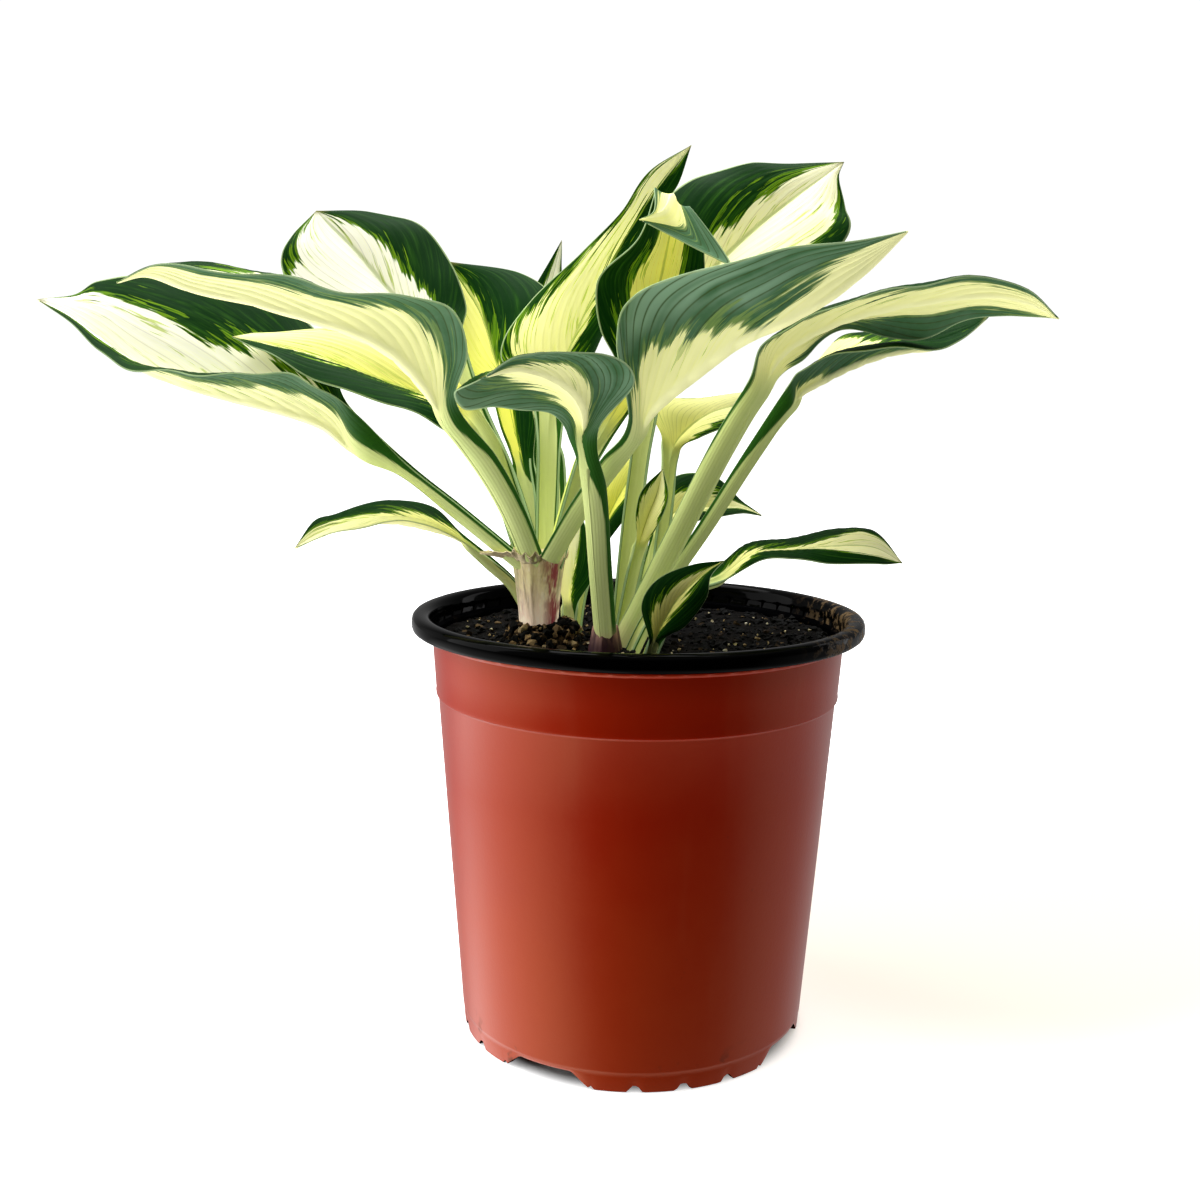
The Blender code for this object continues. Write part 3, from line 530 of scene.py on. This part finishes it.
def buildLeaf(number, name, leaf):
    length = np.linalg.norm(np.subtract(leaf["rib"][-1], leaf["rib"][0]))
    rows, columns = leafShape["largeGrid" if length > leafShape["largeFrom"] else "smallGrid"]
    sheet, flesh, reads = leafSheet(leafShape["usual"] | leaf, number, rows, columns)
    bm = bmesh.new()
    bmesh.ops.create_grid(bm, x_segments=rows - 1, y_segments=columns - 1, size=1.0)
    layers = {key: bm.verts.layers.float.new(key) for key in reads}
    weights = bm.verts.layers.deform.verify()
    most = flesh.max()
    for vert in bm.verts:
        i = round((vert.co.x + 1) / 2 * (rows - 1))
        j = round((vert.co.y + 1) / 2 * (columns - 1))
        vert.co = Vector(sheet[i, j]) * mm
        for key, layer in layers.items():
            vert[layer] = reads[key][i, j]
        vert[weights][0] = flesh[i, j] / most
    bmesh.ops.remove_doubles(bm, verts=bm.verts, dist=1e-6)
    bmesh.ops.reverse_faces(bm, faces=bm.faces)
    piece = finishPiece(name.replace("leaf_", "leaf"), bm, [leafTop, leafBack], name)
    piece.vertex_groups.new(name="flesh")
    skin = piece.modifiers.new("flesh", "SOLIDIFY")
    skin.thickness = most * mm
    skin.offset = -1.0
    skin.vertex_group = "flesh"
    skin.material_offset = skin.material_offset_rim = 1


for number, (name, leaf) in enumerate(leaves.items()):
    buildLeaf(number, name, leaf)
print("leaves made:", len(leaves))

# pot: one formed sheet, terracotta outside, black on the rim and inside; millimetres and degrees
potShape = {
    "steps": 360, "feet": 4, "footAt": -73.0, "footHalf": 29.5, "gapHalf": 9.5, "gapRise": 5.6,
    "footTop": 6.9, "footInner": 59.5, "notchPitch": 15.3, "notchRise": 2.4, "notchHalf": 2.4, "notchSlope": 1.5,
    "ribs": 60, "ribHeight": 0.45, "ribHalf": 0.8, "ribFrom": (75.0, 148.2), "ribTo": (76.0, 149.8),
    "floorTop": 8.0, "rimFrom": 149.7, "underTop": 7.8, "underRadius": 63.4,
    # radius and height: floor, feet, wall, band, rim, then down the inside
    "profile": [
        (0, 7.4), (30, 7.4), (58.8, 7.4), (60.2, 6.9), (60.6, 6.2), (60.6, 0.5), (60.9, 0), (63.1, 0), (63.5, 0.3),
        (63.8, 3.2), (63.95, 5.6), (64, 6.9), (64.25, 7.35), (64.3, 7.9), (65.4, 23), (68.3, 62), (70.9, 98),
        (72.9, 125.9), (73.2, 126.5), (73.75, 126.9), (73.85, 127.6), (73.7, 128.4), (74.3, 137), (75, 147.2),
        (75.5, 147.7), (75.75, 148.4), (75.6, 149.1), (75.8, 149.9), (79.6, 149.8), (81.3, 149.9), (82.1, 150.5),
        (82.5, 151.6), (82.5, 153.6), (82.2, 154.8), (81.5, 155.6), (80.4, 156), (78.6, 156), (77.2, 155.7),
        (76.2, 155), (75.7, 154), (75.4, 151), (75.1, 148.6), (74.6, 148), (73.8, 147.7), (73.5, 146.9), (73.3, 141),
        (72.6, 128), (71.7, 125), (67.2, 62), (62.9, 9.4), (62.2, 8.6), (30, 8.6), (0, 8.6),
    ],
    "clay": rgb(170, 20, 0), "clayMottleAndLitLow": rgb(186, 54, 8), "scuff": rgb(196, 98, 70), "clayDirt": rgb(48, 26, 16),
    "inside": rgb(2, 2, 3), "insideDust": rgb(70, 56, 42), "rim": rgb(1, 1, 1), "rimDust": rgb(116, 94, 68),
    # painted shade: the underside and the feet's inner faces are drawn near black because they are always in shadow
    "under": rgb(10, 3, 2), "underPale": rgb(26, 9, 6),
}


def footRise(angle):
    # how far the pot's lower edge is cut up here: gaps between the feet, small notches in them
    turn = 360.0 / potShape["feet"]
    off = abs((angle - potShape["footAt"] + turn / 2) % turn - turn / 2)
    if off > potShape["footHalf"]:
        slope = turn / 2 - potShape["gapHalf"] - potShape["footHalf"]
        return potShape["gapRise"] * min(1, (off - potShape["footHalf"]) / slope)
    near = abs(off - potShape["notchPitch"] * round(off / potShape["notchPitch"]))
    return potShape["notchRise"] * min(1, max(0, (potShape["notchHalf"] - near) / potShape["notchSlope"]))


def potOutside(w):
    place = w.place()
    x, y, z = w.split(place)
    mottle = w.noise(place, 38.0, 4.0, 0.6)
    grain = w.noise(place, 900.0, 2.0, 0.6)
    # painted light: the lower wall is drawn paler and more orange for the light on it, on top of the random mottle
    low = 1 - z.step(0.02, 0.11)
    colour = (mottle * 0.5 + low * 0.5).mix(potShape["clay"], potShape["clayMottleAndLitLow"])
    scuff = w.noise(w.joined(x * 40.0, y * 40.0, z * 6.0), 1.0, 3.0).step(0.56, 0.74)
    colour = (scuff * 0.10).mix(colour, potShape["scuff"])
    side = (x - potAxis.x).step(0.02, 0.07)
    specks = (1 - w.cells(place, 300.0).step(0.10, 0.20)) * w.noise(place, 60.0, 2.0).step(0.60, 0.70)
    dirt = specks * (0.25 + side * 0.75) * (0.35 + z.step(0.120, 0.150) * 0.65)
    foot = (1 - z.step(0.002, 0.016)) * w.noise(place, 120.0, 3.0).step(0.60, 0.72) * 0.7
    dirt = dirt.larger(foot)
    return {"Base Color": dirt.mix(colour, potShape["clayDirt"]), "Roughness": 0.26 + mottle * 0.10 + dirt * 0.3,
            "Normal": w.bump(grain + dirt * 2.0, 0.10, 0.0003)}


def potInside(w):
    place = w.place()
    dust = w.noise(place, 160.0, 4.0, 0.65).step(0.56, 0.74)
    side = (w.split(place)[0] - potAxis.x).step(0.045, 0.080)
    dirt = dust * (0.05 + side * 0.8)
    return {"Base Color": dirt.mix(potShape["inside"], potShape["insideDust"]),
            "Roughness": 0.10 + w.noise(place, 90.0, 3.0) * 0.16 + dirt * 0.5,
            "Normal": w.bump(dirt + w.noise(place, 500.0) * 0.2, 0.12, 0.0004)}


def potRim(w):
    place = w.place()
    x, y, _ = w.split(place)
    dust = w.noise(place, 260.0, 4.0, 0.65).step(0.48, 0.60)
    dirt = dust * (x - potAxis.x).step(0.052, 0.078) * (1 - (y - potAxis.y).step(0.01, 0.05))
    return {"Base Color": dirt.mix(potShape["rim"], potShape["rimDust"]), "Roughness": 0.08 + dirt * 0.6,
            "Normal": w.bump(dirt, 0.4, 0.0006)}


# painted shade for the pot's underside, near black with a little grain
def potUnderShade(w):
    grain = w.noise(w.place(), 300.0, 3.0)
    return {"Base Color": grain.mix(potShape["under"], potShape["underPale"]), "Roughness": 0.8 + grain * 0.1}


def buildPot():
    shape = potShape
    bm = bmesh.new()
    line = [bm.verts.new((r * mm, 0.0, z * mm)) for r, z in shape["profile"]]
    edges = [bm.edges.new(pair) for pair in zip(line, line[1:])]
    bmesh.ops.spin(bm, geom=line + edges, cent=(0, 0, 0), axis=(0, 0, 1), angle=tau,
                   steps=shape["steps"], use_merge=True)
    bmesh.ops.remove_doubles(bm, verts=bm.verts, dist=1e-6)
    top, turn = shape["footTop"], 360.0 / shape["ribs"]
    (innerRadius, lowest), (outerRadius, highest) = shape["ribFrom"], shape["ribTo"]
    for vert in bm.verts:
        angle = degrees(atan2(vert.co.y, vert.co.x))
        radius, height = vert.co.xy.length / mm, vert.co.z / mm
        if height < top - 0.1 and radius > shape["footInner"]:
            low = footRise(angle)
            vert.co.z = (low + height * (top - low) / top) * mm
        if lowest < height < highest and innerRadius < radius < outerRadius:
            if abs((angle + turn / 2) % turn - turn / 2) < shape["ribHalf"]:
                vert.co.xy *= 1.0 + shape["ribHeight"] / radius
    bmesh.ops.recalc_face_normals(bm, faces=bm.faces)
    outer, inner, under, rim = range(4)
    for face in bm.faces:
        middle = face.calc_center_median() / mm
        inside = middle.z > shape["floorTop"] and (face.normal.xy.dot(middle.xy) < 0 or face.normal.z > 0.9)
        face.material_index = rim if middle.z > shape["rimFrom"] else inner if inside else outer
        if middle.z < shape["underTop"] and middle.xy.length < shape["underRadius"]:  # always in its own shadow, so given the near-black painted shade material
            face.material_index = under
    materials = [
        newMaterial("potOutside", {"IOR": 1.36, "Specular Tint": (1.0, 0.80, 0.40, 1.0)}, potOutside),
        newMaterial("potInside", {"IOR": 1.02}, potInside),
        newMaterial("potUnderShade", {"Specular IOR Level": 0.0}, potUnderShade),
        newMaterial("potRim", {"IOR": 1.09}, potRim),
    ]
    piece = finishPiece("potFormed", bm, materials, "pot")
    piece.data.set_sharp_from_angle(angle=radians(40))


buildPot()
print("pot made")

# soil: a rough dark surface with chips, crumbs and pale grains on it; millimetres
soilShape = {
    "level": 146.0, "radius": 74.0, "bottom": 118.0, "taper": 0.95,
    "moundAt": (-33.0, -24.0), "mound": (9.0, 15.5), "rise": 7.6,  # flat out to the first radius, gone at the second
    "heapAt": (-11.0, -36.0), "heap": 14.0, "heapRise": 2.2,
    "chips": {"count": 1900, "reach": 72.0, "size": (1.2, 4.2), "flat": (0.2, 0.7), "lift": 0.2},
    "grains": {"count": 150, "reach": 71.0, "size": (0.6, 1.7), "flat": 0.8, "lift": 0.6},
    "clods": {"count": 420, "at": (-34.0, -24.0), "ring": (6.5, 15.0), "size": (1.0, 4.6), "flat": (0.6, 1.0),
              "lift": (0.0, 1.8)},
    "wet": rgb(2, 1, 1), "damp": rgb(11, 8, 6), "patch": rgb(26, 19, 13), "dry": rgb(124, 98, 70),
    "tints": [(0.0, rgb(2, 2, 2)), (0.45, rgb(9, 7, 5)), (0.60, rgb(44, 32, 20)), (0.78, rgb(150, 122, 84)),
              (0.93, rgb(206, 186, 142)), (1.0, rgb(240, 232, 208))],
    "chipShade": rgb(40, 30, 22),
}


def soilHeight(x, y):
    shape = soilShape
    inner, outer = shape["mound"]
    away = hypot(x - shape["moundAt"][0], y - shape["moundAt"][1])
    rise = shape["rise"] * eased(min(1, max(0, (outer - away) / (outer - inner))))
    near = hypot(x - shape["heapAt"][0], y - shape["heapAt"][1]) / shape["heap"]
    rise += shape["heapRise"] * exp(-near * near)
    lump = noise.noise(Vector((x * 0.09, y * 0.09, 3.0))) * 1.2 + noise.noise(Vector((x * 0.35, y * 0.35, 8.0))) * 0.9
    return shape["level"] + rise + lump


def soilColour(w):
    place = w.place()
    tone = w.noise(place, 260.0, 5.0, 0.7)
    patch = w.noise(place, 45.0, 3.0)
    colour = tone.step(0.35, 0.7).mix(soilShape["wet"], soilShape["damp"])
    colour = (patch.step(0.5, 0.7) * 0.3).mix(colour, soilShape["patch"])
    high = w.split(place)[2].step(0.1485, 0.1540)
    colour = (high * tone.step(0.42, 0.62)).mix(colour, soilShape["dry"])
    return {"Base Color": colour, "Roughness": 0.86 + tone * 0.12, "Normal": w.bump(tone, 0.9, 0.0012)}


def chipColour(w):
    colour = w.node("ValToRGB", {"stops": soilShape["tints"]}, {0: w.attribute("tint")})
    tone = w.noise(w.place(), 900.0, 3.0)
    colour = (tone * 0.5).mix(colour, soilShape["chipShade"], "MULTIPLY")
    return {"Base Color": colour, "Roughness": 0.75 + tone * 0.2, "Normal": w.bump(tone, 0.5, 0.0005)}


def buildSoil():
    bm = bmesh.new()
    bmesh.ops.create_circle(bm, cap_ends=True, cap_tris=True, segments=120, radius=soilShape["radius"] * mm)
    bmesh.ops.subdivide_edges(bm, edges=bm.edges, cuts=38, use_grid_fill=True)
    bmesh.ops.triangulate(bm, faces=bm.faces)
    for vert in bm.verts:
        vert.co.z = soilHeight(vert.co.x / mm, vert.co.y / mm) * mm
    rim = [edge for edge in bm.edges if edge.is_boundary]
    for item in bmesh.ops.extrude_edge_only(bm, edges=rim)["geom"]:
        if isinstance(item, bmesh.types.BMVert):
            item.co.z = soilShape["bottom"] * mm
            item.co.xy *= soilShape["taper"]
    closeUp(bm)
    finishPiece("soilSurface", bm, [newMaterial("soil", {"IOR": 1.15}, soilColour)], "potting_soil")


def buildCrumbs():
    rng = random.Random(11)
    bm = bmesh.new()
    tints = bm.verts.layers.float.new("tint")

    def anywhere(reach):
        radius, angle = reach * sqrt(rng.random()), rng.uniform(0, tau)
        return radius * cos(angle), radius * sin(angle)

    def drop(x, y, size, flat, tint, lift):
        turn = Matrix.Rotation(rng.uniform(0, tau), 4, "Z") @ Matrix.Rotation(rng.uniform(-0.7, 0.7), 4, "X")
        spot = Matrix.Translation(Vector((x, y, soilHeight(x, y) + lift)) * mm)
        scale = Matrix.Diagonal((size * mm, size * rng.uniform(0.45, 0.9) * mm, size * flat * mm, 1.0))
        made = bmesh.ops.create_icosphere(bm, subdivisions=1, radius=0.5, matrix=spot @ turn @ scale)["verts"]
        for vert in made:
            vert[tints] = tint
            vert.co += Vector([rng.uniform(-0.14, 0.14) * size * mm for _ in range(3)])

    chips, grains, clods = soilShape["chips"], soilShape["grains"], soilShape["clods"]
    for _ in range(chips["count"]):
        x, y = anywhere(chips["reach"])
        tint = rng.random() ** 3.0 * 0.70
        drop(x, y, rng.uniform(*chips["size"]), rng.uniform(*chips["flat"]), tint, chips["lift"])
    for _ in range(grains["count"]):
        x, y = anywhere(grains["reach"])
        drop(x, y, rng.uniform(*grains["size"]), grains["flat"], rng.uniform(0.78, 1.0), grains["lift"])
    for _ in range(clods["count"]):
        angle, radius = rng.uniform(0, tau), rng.uniform(*clods["ring"])
        x, y = clods["at"][0] + radius * cos(angle), clods["at"][1] + radius * 1.1 * sin(angle)
        size, flat = rng.uniform(*clods["size"]), rng.uniform(*clods["flat"])
        tint = rng.choice((rng.uniform(0.3, 0.6), rng.uniform(0.6, 0.86)))
        drop(x, y, size, flat, tint, rng.uniform(*clods["lift"]))
    finishPiece("soilCrumbs", bm, [newMaterial("crumbs", {"IOR": 1.2}, chipColour)], None, flat=True)


buildSoil()
buildCrumbs()
print("soil made")

# shoots: oval sheathed bases, streaked and flushed; a ring is its height and half widths in millimetres
shootShape = {
    "left": {"at": (-35, -20.5), "rings": [
        (149, 6.2, 9.4), (154, 6.6, 9.8), (162, 7.2, 10.8), (170, 8, 12),
        (176, 8.9, 13.2), (180, 9.9, 14), (181.6, 9.6, 13.9), (180.6, 7.5, 11.5)]},
    "right": {"at": (-11, -36.5), "rings": [
        (145, 6.4, 5.6), (149, 5.9, 5.2), (153, 5, 4.6), (156, 4.5, 4.2),
        (157.6, 4.1, 3.9), (156.6, 3, 2.8)]},
    "foot": rgb(254, 232, 204), "top": rgb(206, 192, 136), "streak": rgb(122, 110, 78), "flush": rgb(124, 44, 52),
    "lilac": rgb(150, 96, 122), "thread": rgb(236, 226, 200), "earth": rgb(84, 60, 42),
    "purple": rgb(74, 44, 44), "rose": rgb(178, 134, 116), "purpleStreak": rgb(58, 28, 42),
}


def sheathColourAndGlow(w):
    look = shootShape
    x, y, z = w.split(w.place())
    streak = w.noise(w.joined(x * 380.0, y * 380.0, z * 26.0), 1.0, 4.0, 0.6)
    thread = w.noise(w.joined(x * 1500.0, y * 1500.0, z * 40.0), 1.0, 2.0, 0.6)
    blotch = w.noise(w.joined(x * 110.0, y * 110.0, z * 48.0), 1.0, 4.0, 0.65)
    high = z.step(0.154, 0.174)
    colour = high.mix(look["foot"], look["top"])
    colour = (streak.step(0.44, 0.66) * (0.25 + high * 0.6)).mix(colour, look["streak"])
    right = (x - potAxis.x + 0.0335).step(0.0, 0.004)
    colour = (blotch.step(0.42, 0.54) * (0.22 + right * 0.78)).mix(colour, look["flush"])
    left = 1 - (x - potAxis.x + 0.0415).step(0.0, 0.003)
    colour = (left * blotch.step(0.40, 0.52) * 0.7 * (1 - high)).mix(colour, look["lilac"])
    colour = (thread.step(0.55, 0.70) * 0.35).mix(colour, look["thread"])
    low = 1 - z.step(0.1520, 0.1565)
    colour = (low * streak.step(0.46, 0.56) * 0.8).mix(colour, look["earth"])
    # painted light: the sheath gives off a share of its own colour, as if more light fell on it
    return {"Base Color": colour, "Emission Color": colour, "Roughness": 0.46 + streak * 0.25,
            "Normal": w.bump(streak + thread * 0.4, 0.5, 0.0006)}


def purpleColour(w):
    x, y, z = w.split(w.place())
    streak = w.noise(w.joined(x * 420.0, y * 420.0, z * 40.0), 1.0, 4.0, 0.6)
    colour = z.step(0.1495, 0.1570).mix(shootShape["purple"], shootShape["rose"])
    colour = (streak.step(0.48, 0.62) * 0.8).mix(colour, shootShape["purpleStreak"])
    return {"Base Color": colour, "Roughness": 0.5 + streak * 0.2, "Normal": w.bump(streak, 0.4, 0.0005)}


def buildShoot(side, node, material):
    x0, y0 = shootShape[side]["at"]
    bm = bmesh.new()
    loops = []
    for height, wide, deep in shootShape[side]["rings"]:
        made = bmesh.ops.create_circle(bm, segments=64, radius=1.0)["verts"]
        for vert in made:
            angle = atan2(vert.co.y, vert.co.x)
            pleat = 1.0 + 0.035 * sin(7 * angle + height * 0.05) + 0.02 * sin(17 * angle)
            vert.co = Vector((x0 + wide * pleat * cos(angle), y0 + deep * pleat * sin(angle), height)) * mm
        loops.append(made)
    for pair in zip(loops, loops[1:]):
        edges = [edge for loop in pair for edge in bm.edges if all(vert in loop for vert in edge.verts)]
        bmesh.ops.bridge_loops(bm, edges=edges)
    closeUp(bm)
    piece = finishPiece("shoot" + side.capitalize(), bm, [material], node)
    smooth = piece.modifiers.new("smooth", "SUBSURF")
    smooth.levels = smooth.render_levels = 1


# a torn papery ring round the left shoot's top, with a tab standing out to the left and no paper at the right
collarShape = {
    "around": 120, "rise": 8, "low": 177.6, "high": 181.4, "wide": 9.1, "deep": 13.4, "flare": 1.9, "thick": 0.35,
    "tabAt": pi + 0.35, "tabHalf": 0.28, "tabOut": 9.0, "tabDrop": 1.2,
    "gapAt": -0.4, "gapIn": 2.4, "gapDrop": 3.2,
    "paper": rgb(244, 232, 190), "paperDark": rgb(206, 180, 128), "paperPatch": rgb(150, 110, 66),
}


def paperColour(w):
    place = w.place()
    grain = w.noise(place, 420.0, 4.0, 0.65)
    patch = w.noise(place, 130.0, 3.0)
    colour = grain.mix(collarShape["paper"], collarShape["paperDark"])
    colour = (patch.step(0.54, 0.66) * 0.8).mix(colour, collarShape["paperPatch"])
    return {"Base Color": colour, "Roughness": 0.72 + grain * 0.2, "Normal": w.bump(grain, 0.6, 0.0006)}


def buildCollar(material):
    shape = collarShape
    around = shape["around"]
    bm = bmesh.new()
    bmesh.ops.create_grid(bm, x_segments=around, y_segments=shape["rise"], size=1.0)
    x0, y0 = shootShape["left"]["at"]
    ragged = [noise.noise(Vector((cos(a / around * tau) * 2.6, sin(a / around * tau) * 2.6, 1.0)))
              for a in range(around + 1)]
    for vert in bm.verts:
        share = (vert.co.y + 1) / 2
        step = round((vert.co.x + 1) / 2 * around)
        angle = step / around * tau
        tab = exp(-(((angle - shape["tabAt"]) / shape["tabHalf"]) ** 2))
        gap = max(0, cos(angle - shape["gapAt"])) ** 2
        torn, tornTop = ragged[step % around], ragged[(step * 3) % around]
        low = shape["low"] + torn * 1.8
        high = shape["high"] + tornTop * 2.2 - tab * shape["tabDrop"] - gap * shape["gapDrop"]
        out = 0.25 + shape["flare"] * share * share + tab * shape["tabOut"] * share + 0.5 * torn - gap * shape["gapIn"]
        wide, deep = shape["wide"] + 0.9 * share + out, shape["deep"] + 0.8 * share + out
        z = low + (high - low) * share + 0.4 * sin(angle * 11) * share
        vert.co = Vector((x0 + wide * cos(angle), y0 + deep * sin(angle), z)) * mm
    bmesh.ops.remove_doubles(bm, verts=bm.verts, dist=1e-6)
    bmesh.ops.recalc_face_normals(bm, faces=bm.faces)
    piece = finishPiece("collar", bm, [material], None)
    skin = piece.modifiers.new("paper", "SOLIDIFY")
    skin.thickness = shape["thick"] * mm


buildShoot("left", "shoot_left", newMaterial("sheath", {"Emission Strength": 0.34}, sheathColourAndGlow))
buildShoot("right", "shoot_right", newMaterial("purpleSheath", {"IOR": 1.35}, purpleColour))
buildCollar(newMaterial("dryPaper", {}, paperColour))
print("shoots made")

# floor, light and camera, in metres and degrees
studio = {
    "floor": 0.90, "underPot": (0.056, 0.067),  # no glow inside the first radius
    "shadeAt": (0.200, 0.130), "shade": (0.10, 0.25),  # darkest inside the first radius, gone at the second
    "shadeColour": (0.25, 0.24, 0.22), "shadeGlow": (0.84, 0.75, 0.65),
    "above": 0.30, "aboveFront": 0.26, "top": 0.8, "left": 0.8,  # strengths of the soft light by direction
    "below": 0.60, "belowFront": 0.57, "lowLeft": 3.0, "lowRight": 0.7, "bottom": 1.15, "backdrop": 1.05,
    "lamps": [
        # name, watts, width, height, from, towards
        ("leftPanel", 11.0, 0.9, 1.1, (-1.27, -0.08, 0.70), (0, 0, 0.12)),
        ("rightPanel", 2.2, 0.25, 0.9, (1.00, 0.55, 0.45), (0, 0, 0.10)),
        ("topPanel", 34.0, 1.5, 1.2, (-0.20, 0.25, 1.45), (0, 0, 0.10)),
    ],
    "camera": {"at": (0.0, -0.504, 0.243), "pitch": 9.38, "roll": 0.75, "yaw": -1.58, "lens": 41.7, "sensor": 36.0},
}


def floorColour(w):
    place = w.place()
    x, y, _ = w.split(place)

    def away(centre):
        right, back = x - centre[0], y - centre[1]
        return (right * right + back * back) ** 0.5

    lit = away(studio["shadeAt"]).step(*studio["shade"])
    clear = away(potAxis).step(*studio["underPot"])
    pale = studio["floor"]
    white = w.noise(place, 3.0, 2.0).mix((pale, pale, pale), (pale, pale * 0.99, pale * 0.97))
    glow = lit.mix(studio["shadeGlow"], (1.0, 1.0, 1.0))
    return {"Base Color": lit.mix(studio["shadeColour"], white), "Emission Color": clear.mix(black, glow)}


def buildFloor():
    bm = bmesh.new()
    bmesh.ops.create_grid(bm, x_segments=2, y_segments=2, size=20.0)
    mesh = bpy.data.meshes.new("floor")
    bm.to_mesh(mesh)
    bm.free()
    floor = newObject("floor", mesh)
    mesh.materials.append(newMaterial("floorWhite", {
        "Roughness": 0.7, "Specular IOR Level": 0.2, "Emission Strength": 0.9}, floorColour))
    floor.visible_glossy = floor.visible_diffuse = False


def buildLight():
    world = bpy.data.worlds.new("studio")
    world.use_nodes = True
    tree = world.node_tree
    back = tree.nodes["Background"]
    w = Wire(tree)
    x, y, z = w.split(w.node("TexCoord"))
    seen = w.node("LightPath")
    # bright at the left, above and behind, dim in front
    flat = (x * x + y * y) ** 0.5
    left, right, front = 0.0 - x / flat, x / flat, 0.0 - y / flat
    above = studio["above"] - front.step(-0.2, 0.6) * studio["aboveFront"]
    above = above.larger(left.step(0.45, 0.95) * studio["left"])
    above = above.larger(z.step(0.45, 0.9) * studio["top"])
    below = studio["below"] - front.step(-0.6, 0.3) * studio["belowFront"]
    below = below.larger((left - z * 0.9 - 0.45).step(0.40, 0.92) * studio["lowLeft"])
    below = below.larger(right.step(0.84, 1.0) * studio["lowRight"])
    below = below.larger((0.0 - z).step(0.50, 0.90) * studio["bottom"])
    strength = below + z.step(-0.04, 0.02) * (above - below)
    tree.links.new(strength.larger(seen * studio["backdrop"]).socket, back.inputs["Strength"])
    back.inputs["Color"].default_value = (1.0, 1.0, 1.0, 1.0)
    bpy.context.scene.world = world
    for name, watts, width, height, start, aim in studio["lamps"]:
        data = bpy.data.lights.new(name, "AREA")
        data.shape = "RECTANGLE"
        data.size, data.size_y, data.energy = width, height, watts
        lamp = newObject(name, data)
        lamp.location = Vector(start) + potAxis
        lamp.rotation_euler = (Vector(aim) - Vector(start)).to_track_quat("-Z", "Y").to_euler()
        lamp.visible_camera = False


def buildCamera():
    view = studio["camera"]
    pitch, roll, yaw = (radians(view[key]) for key in ("pitch", "roll", "yaw"))
    ahead = Vector((sin(yaw) * cos(pitch), cos(yaw) * cos(pitch), -sin(pitch)))
    right = Vector((cos(yaw), -sin(yaw), 0.0))
    up = right.cross(ahead)
    turnedRight = cos(roll) * right + sin(roll) * up
    turnedUp = cos(roll) * up - sin(roll) * right
    data = bpy.data.cameras.new("camera")
    data.sensor_width, data.lens = view["sensor"], view["lens"]
    camera = newObject("camera", data)
    camera.matrix_world = Matrix((turnedRight, turnedUp, -ahead)).transposed().to_4x4()
    camera.location = Vector(view["at"]) + potAxis
    bpy.context.scene.camera = camera


buildFloor()
buildLight()
buildCamera()
bpy.context.scene.view_settings.view_transform = "Standard"
print("scene ready")
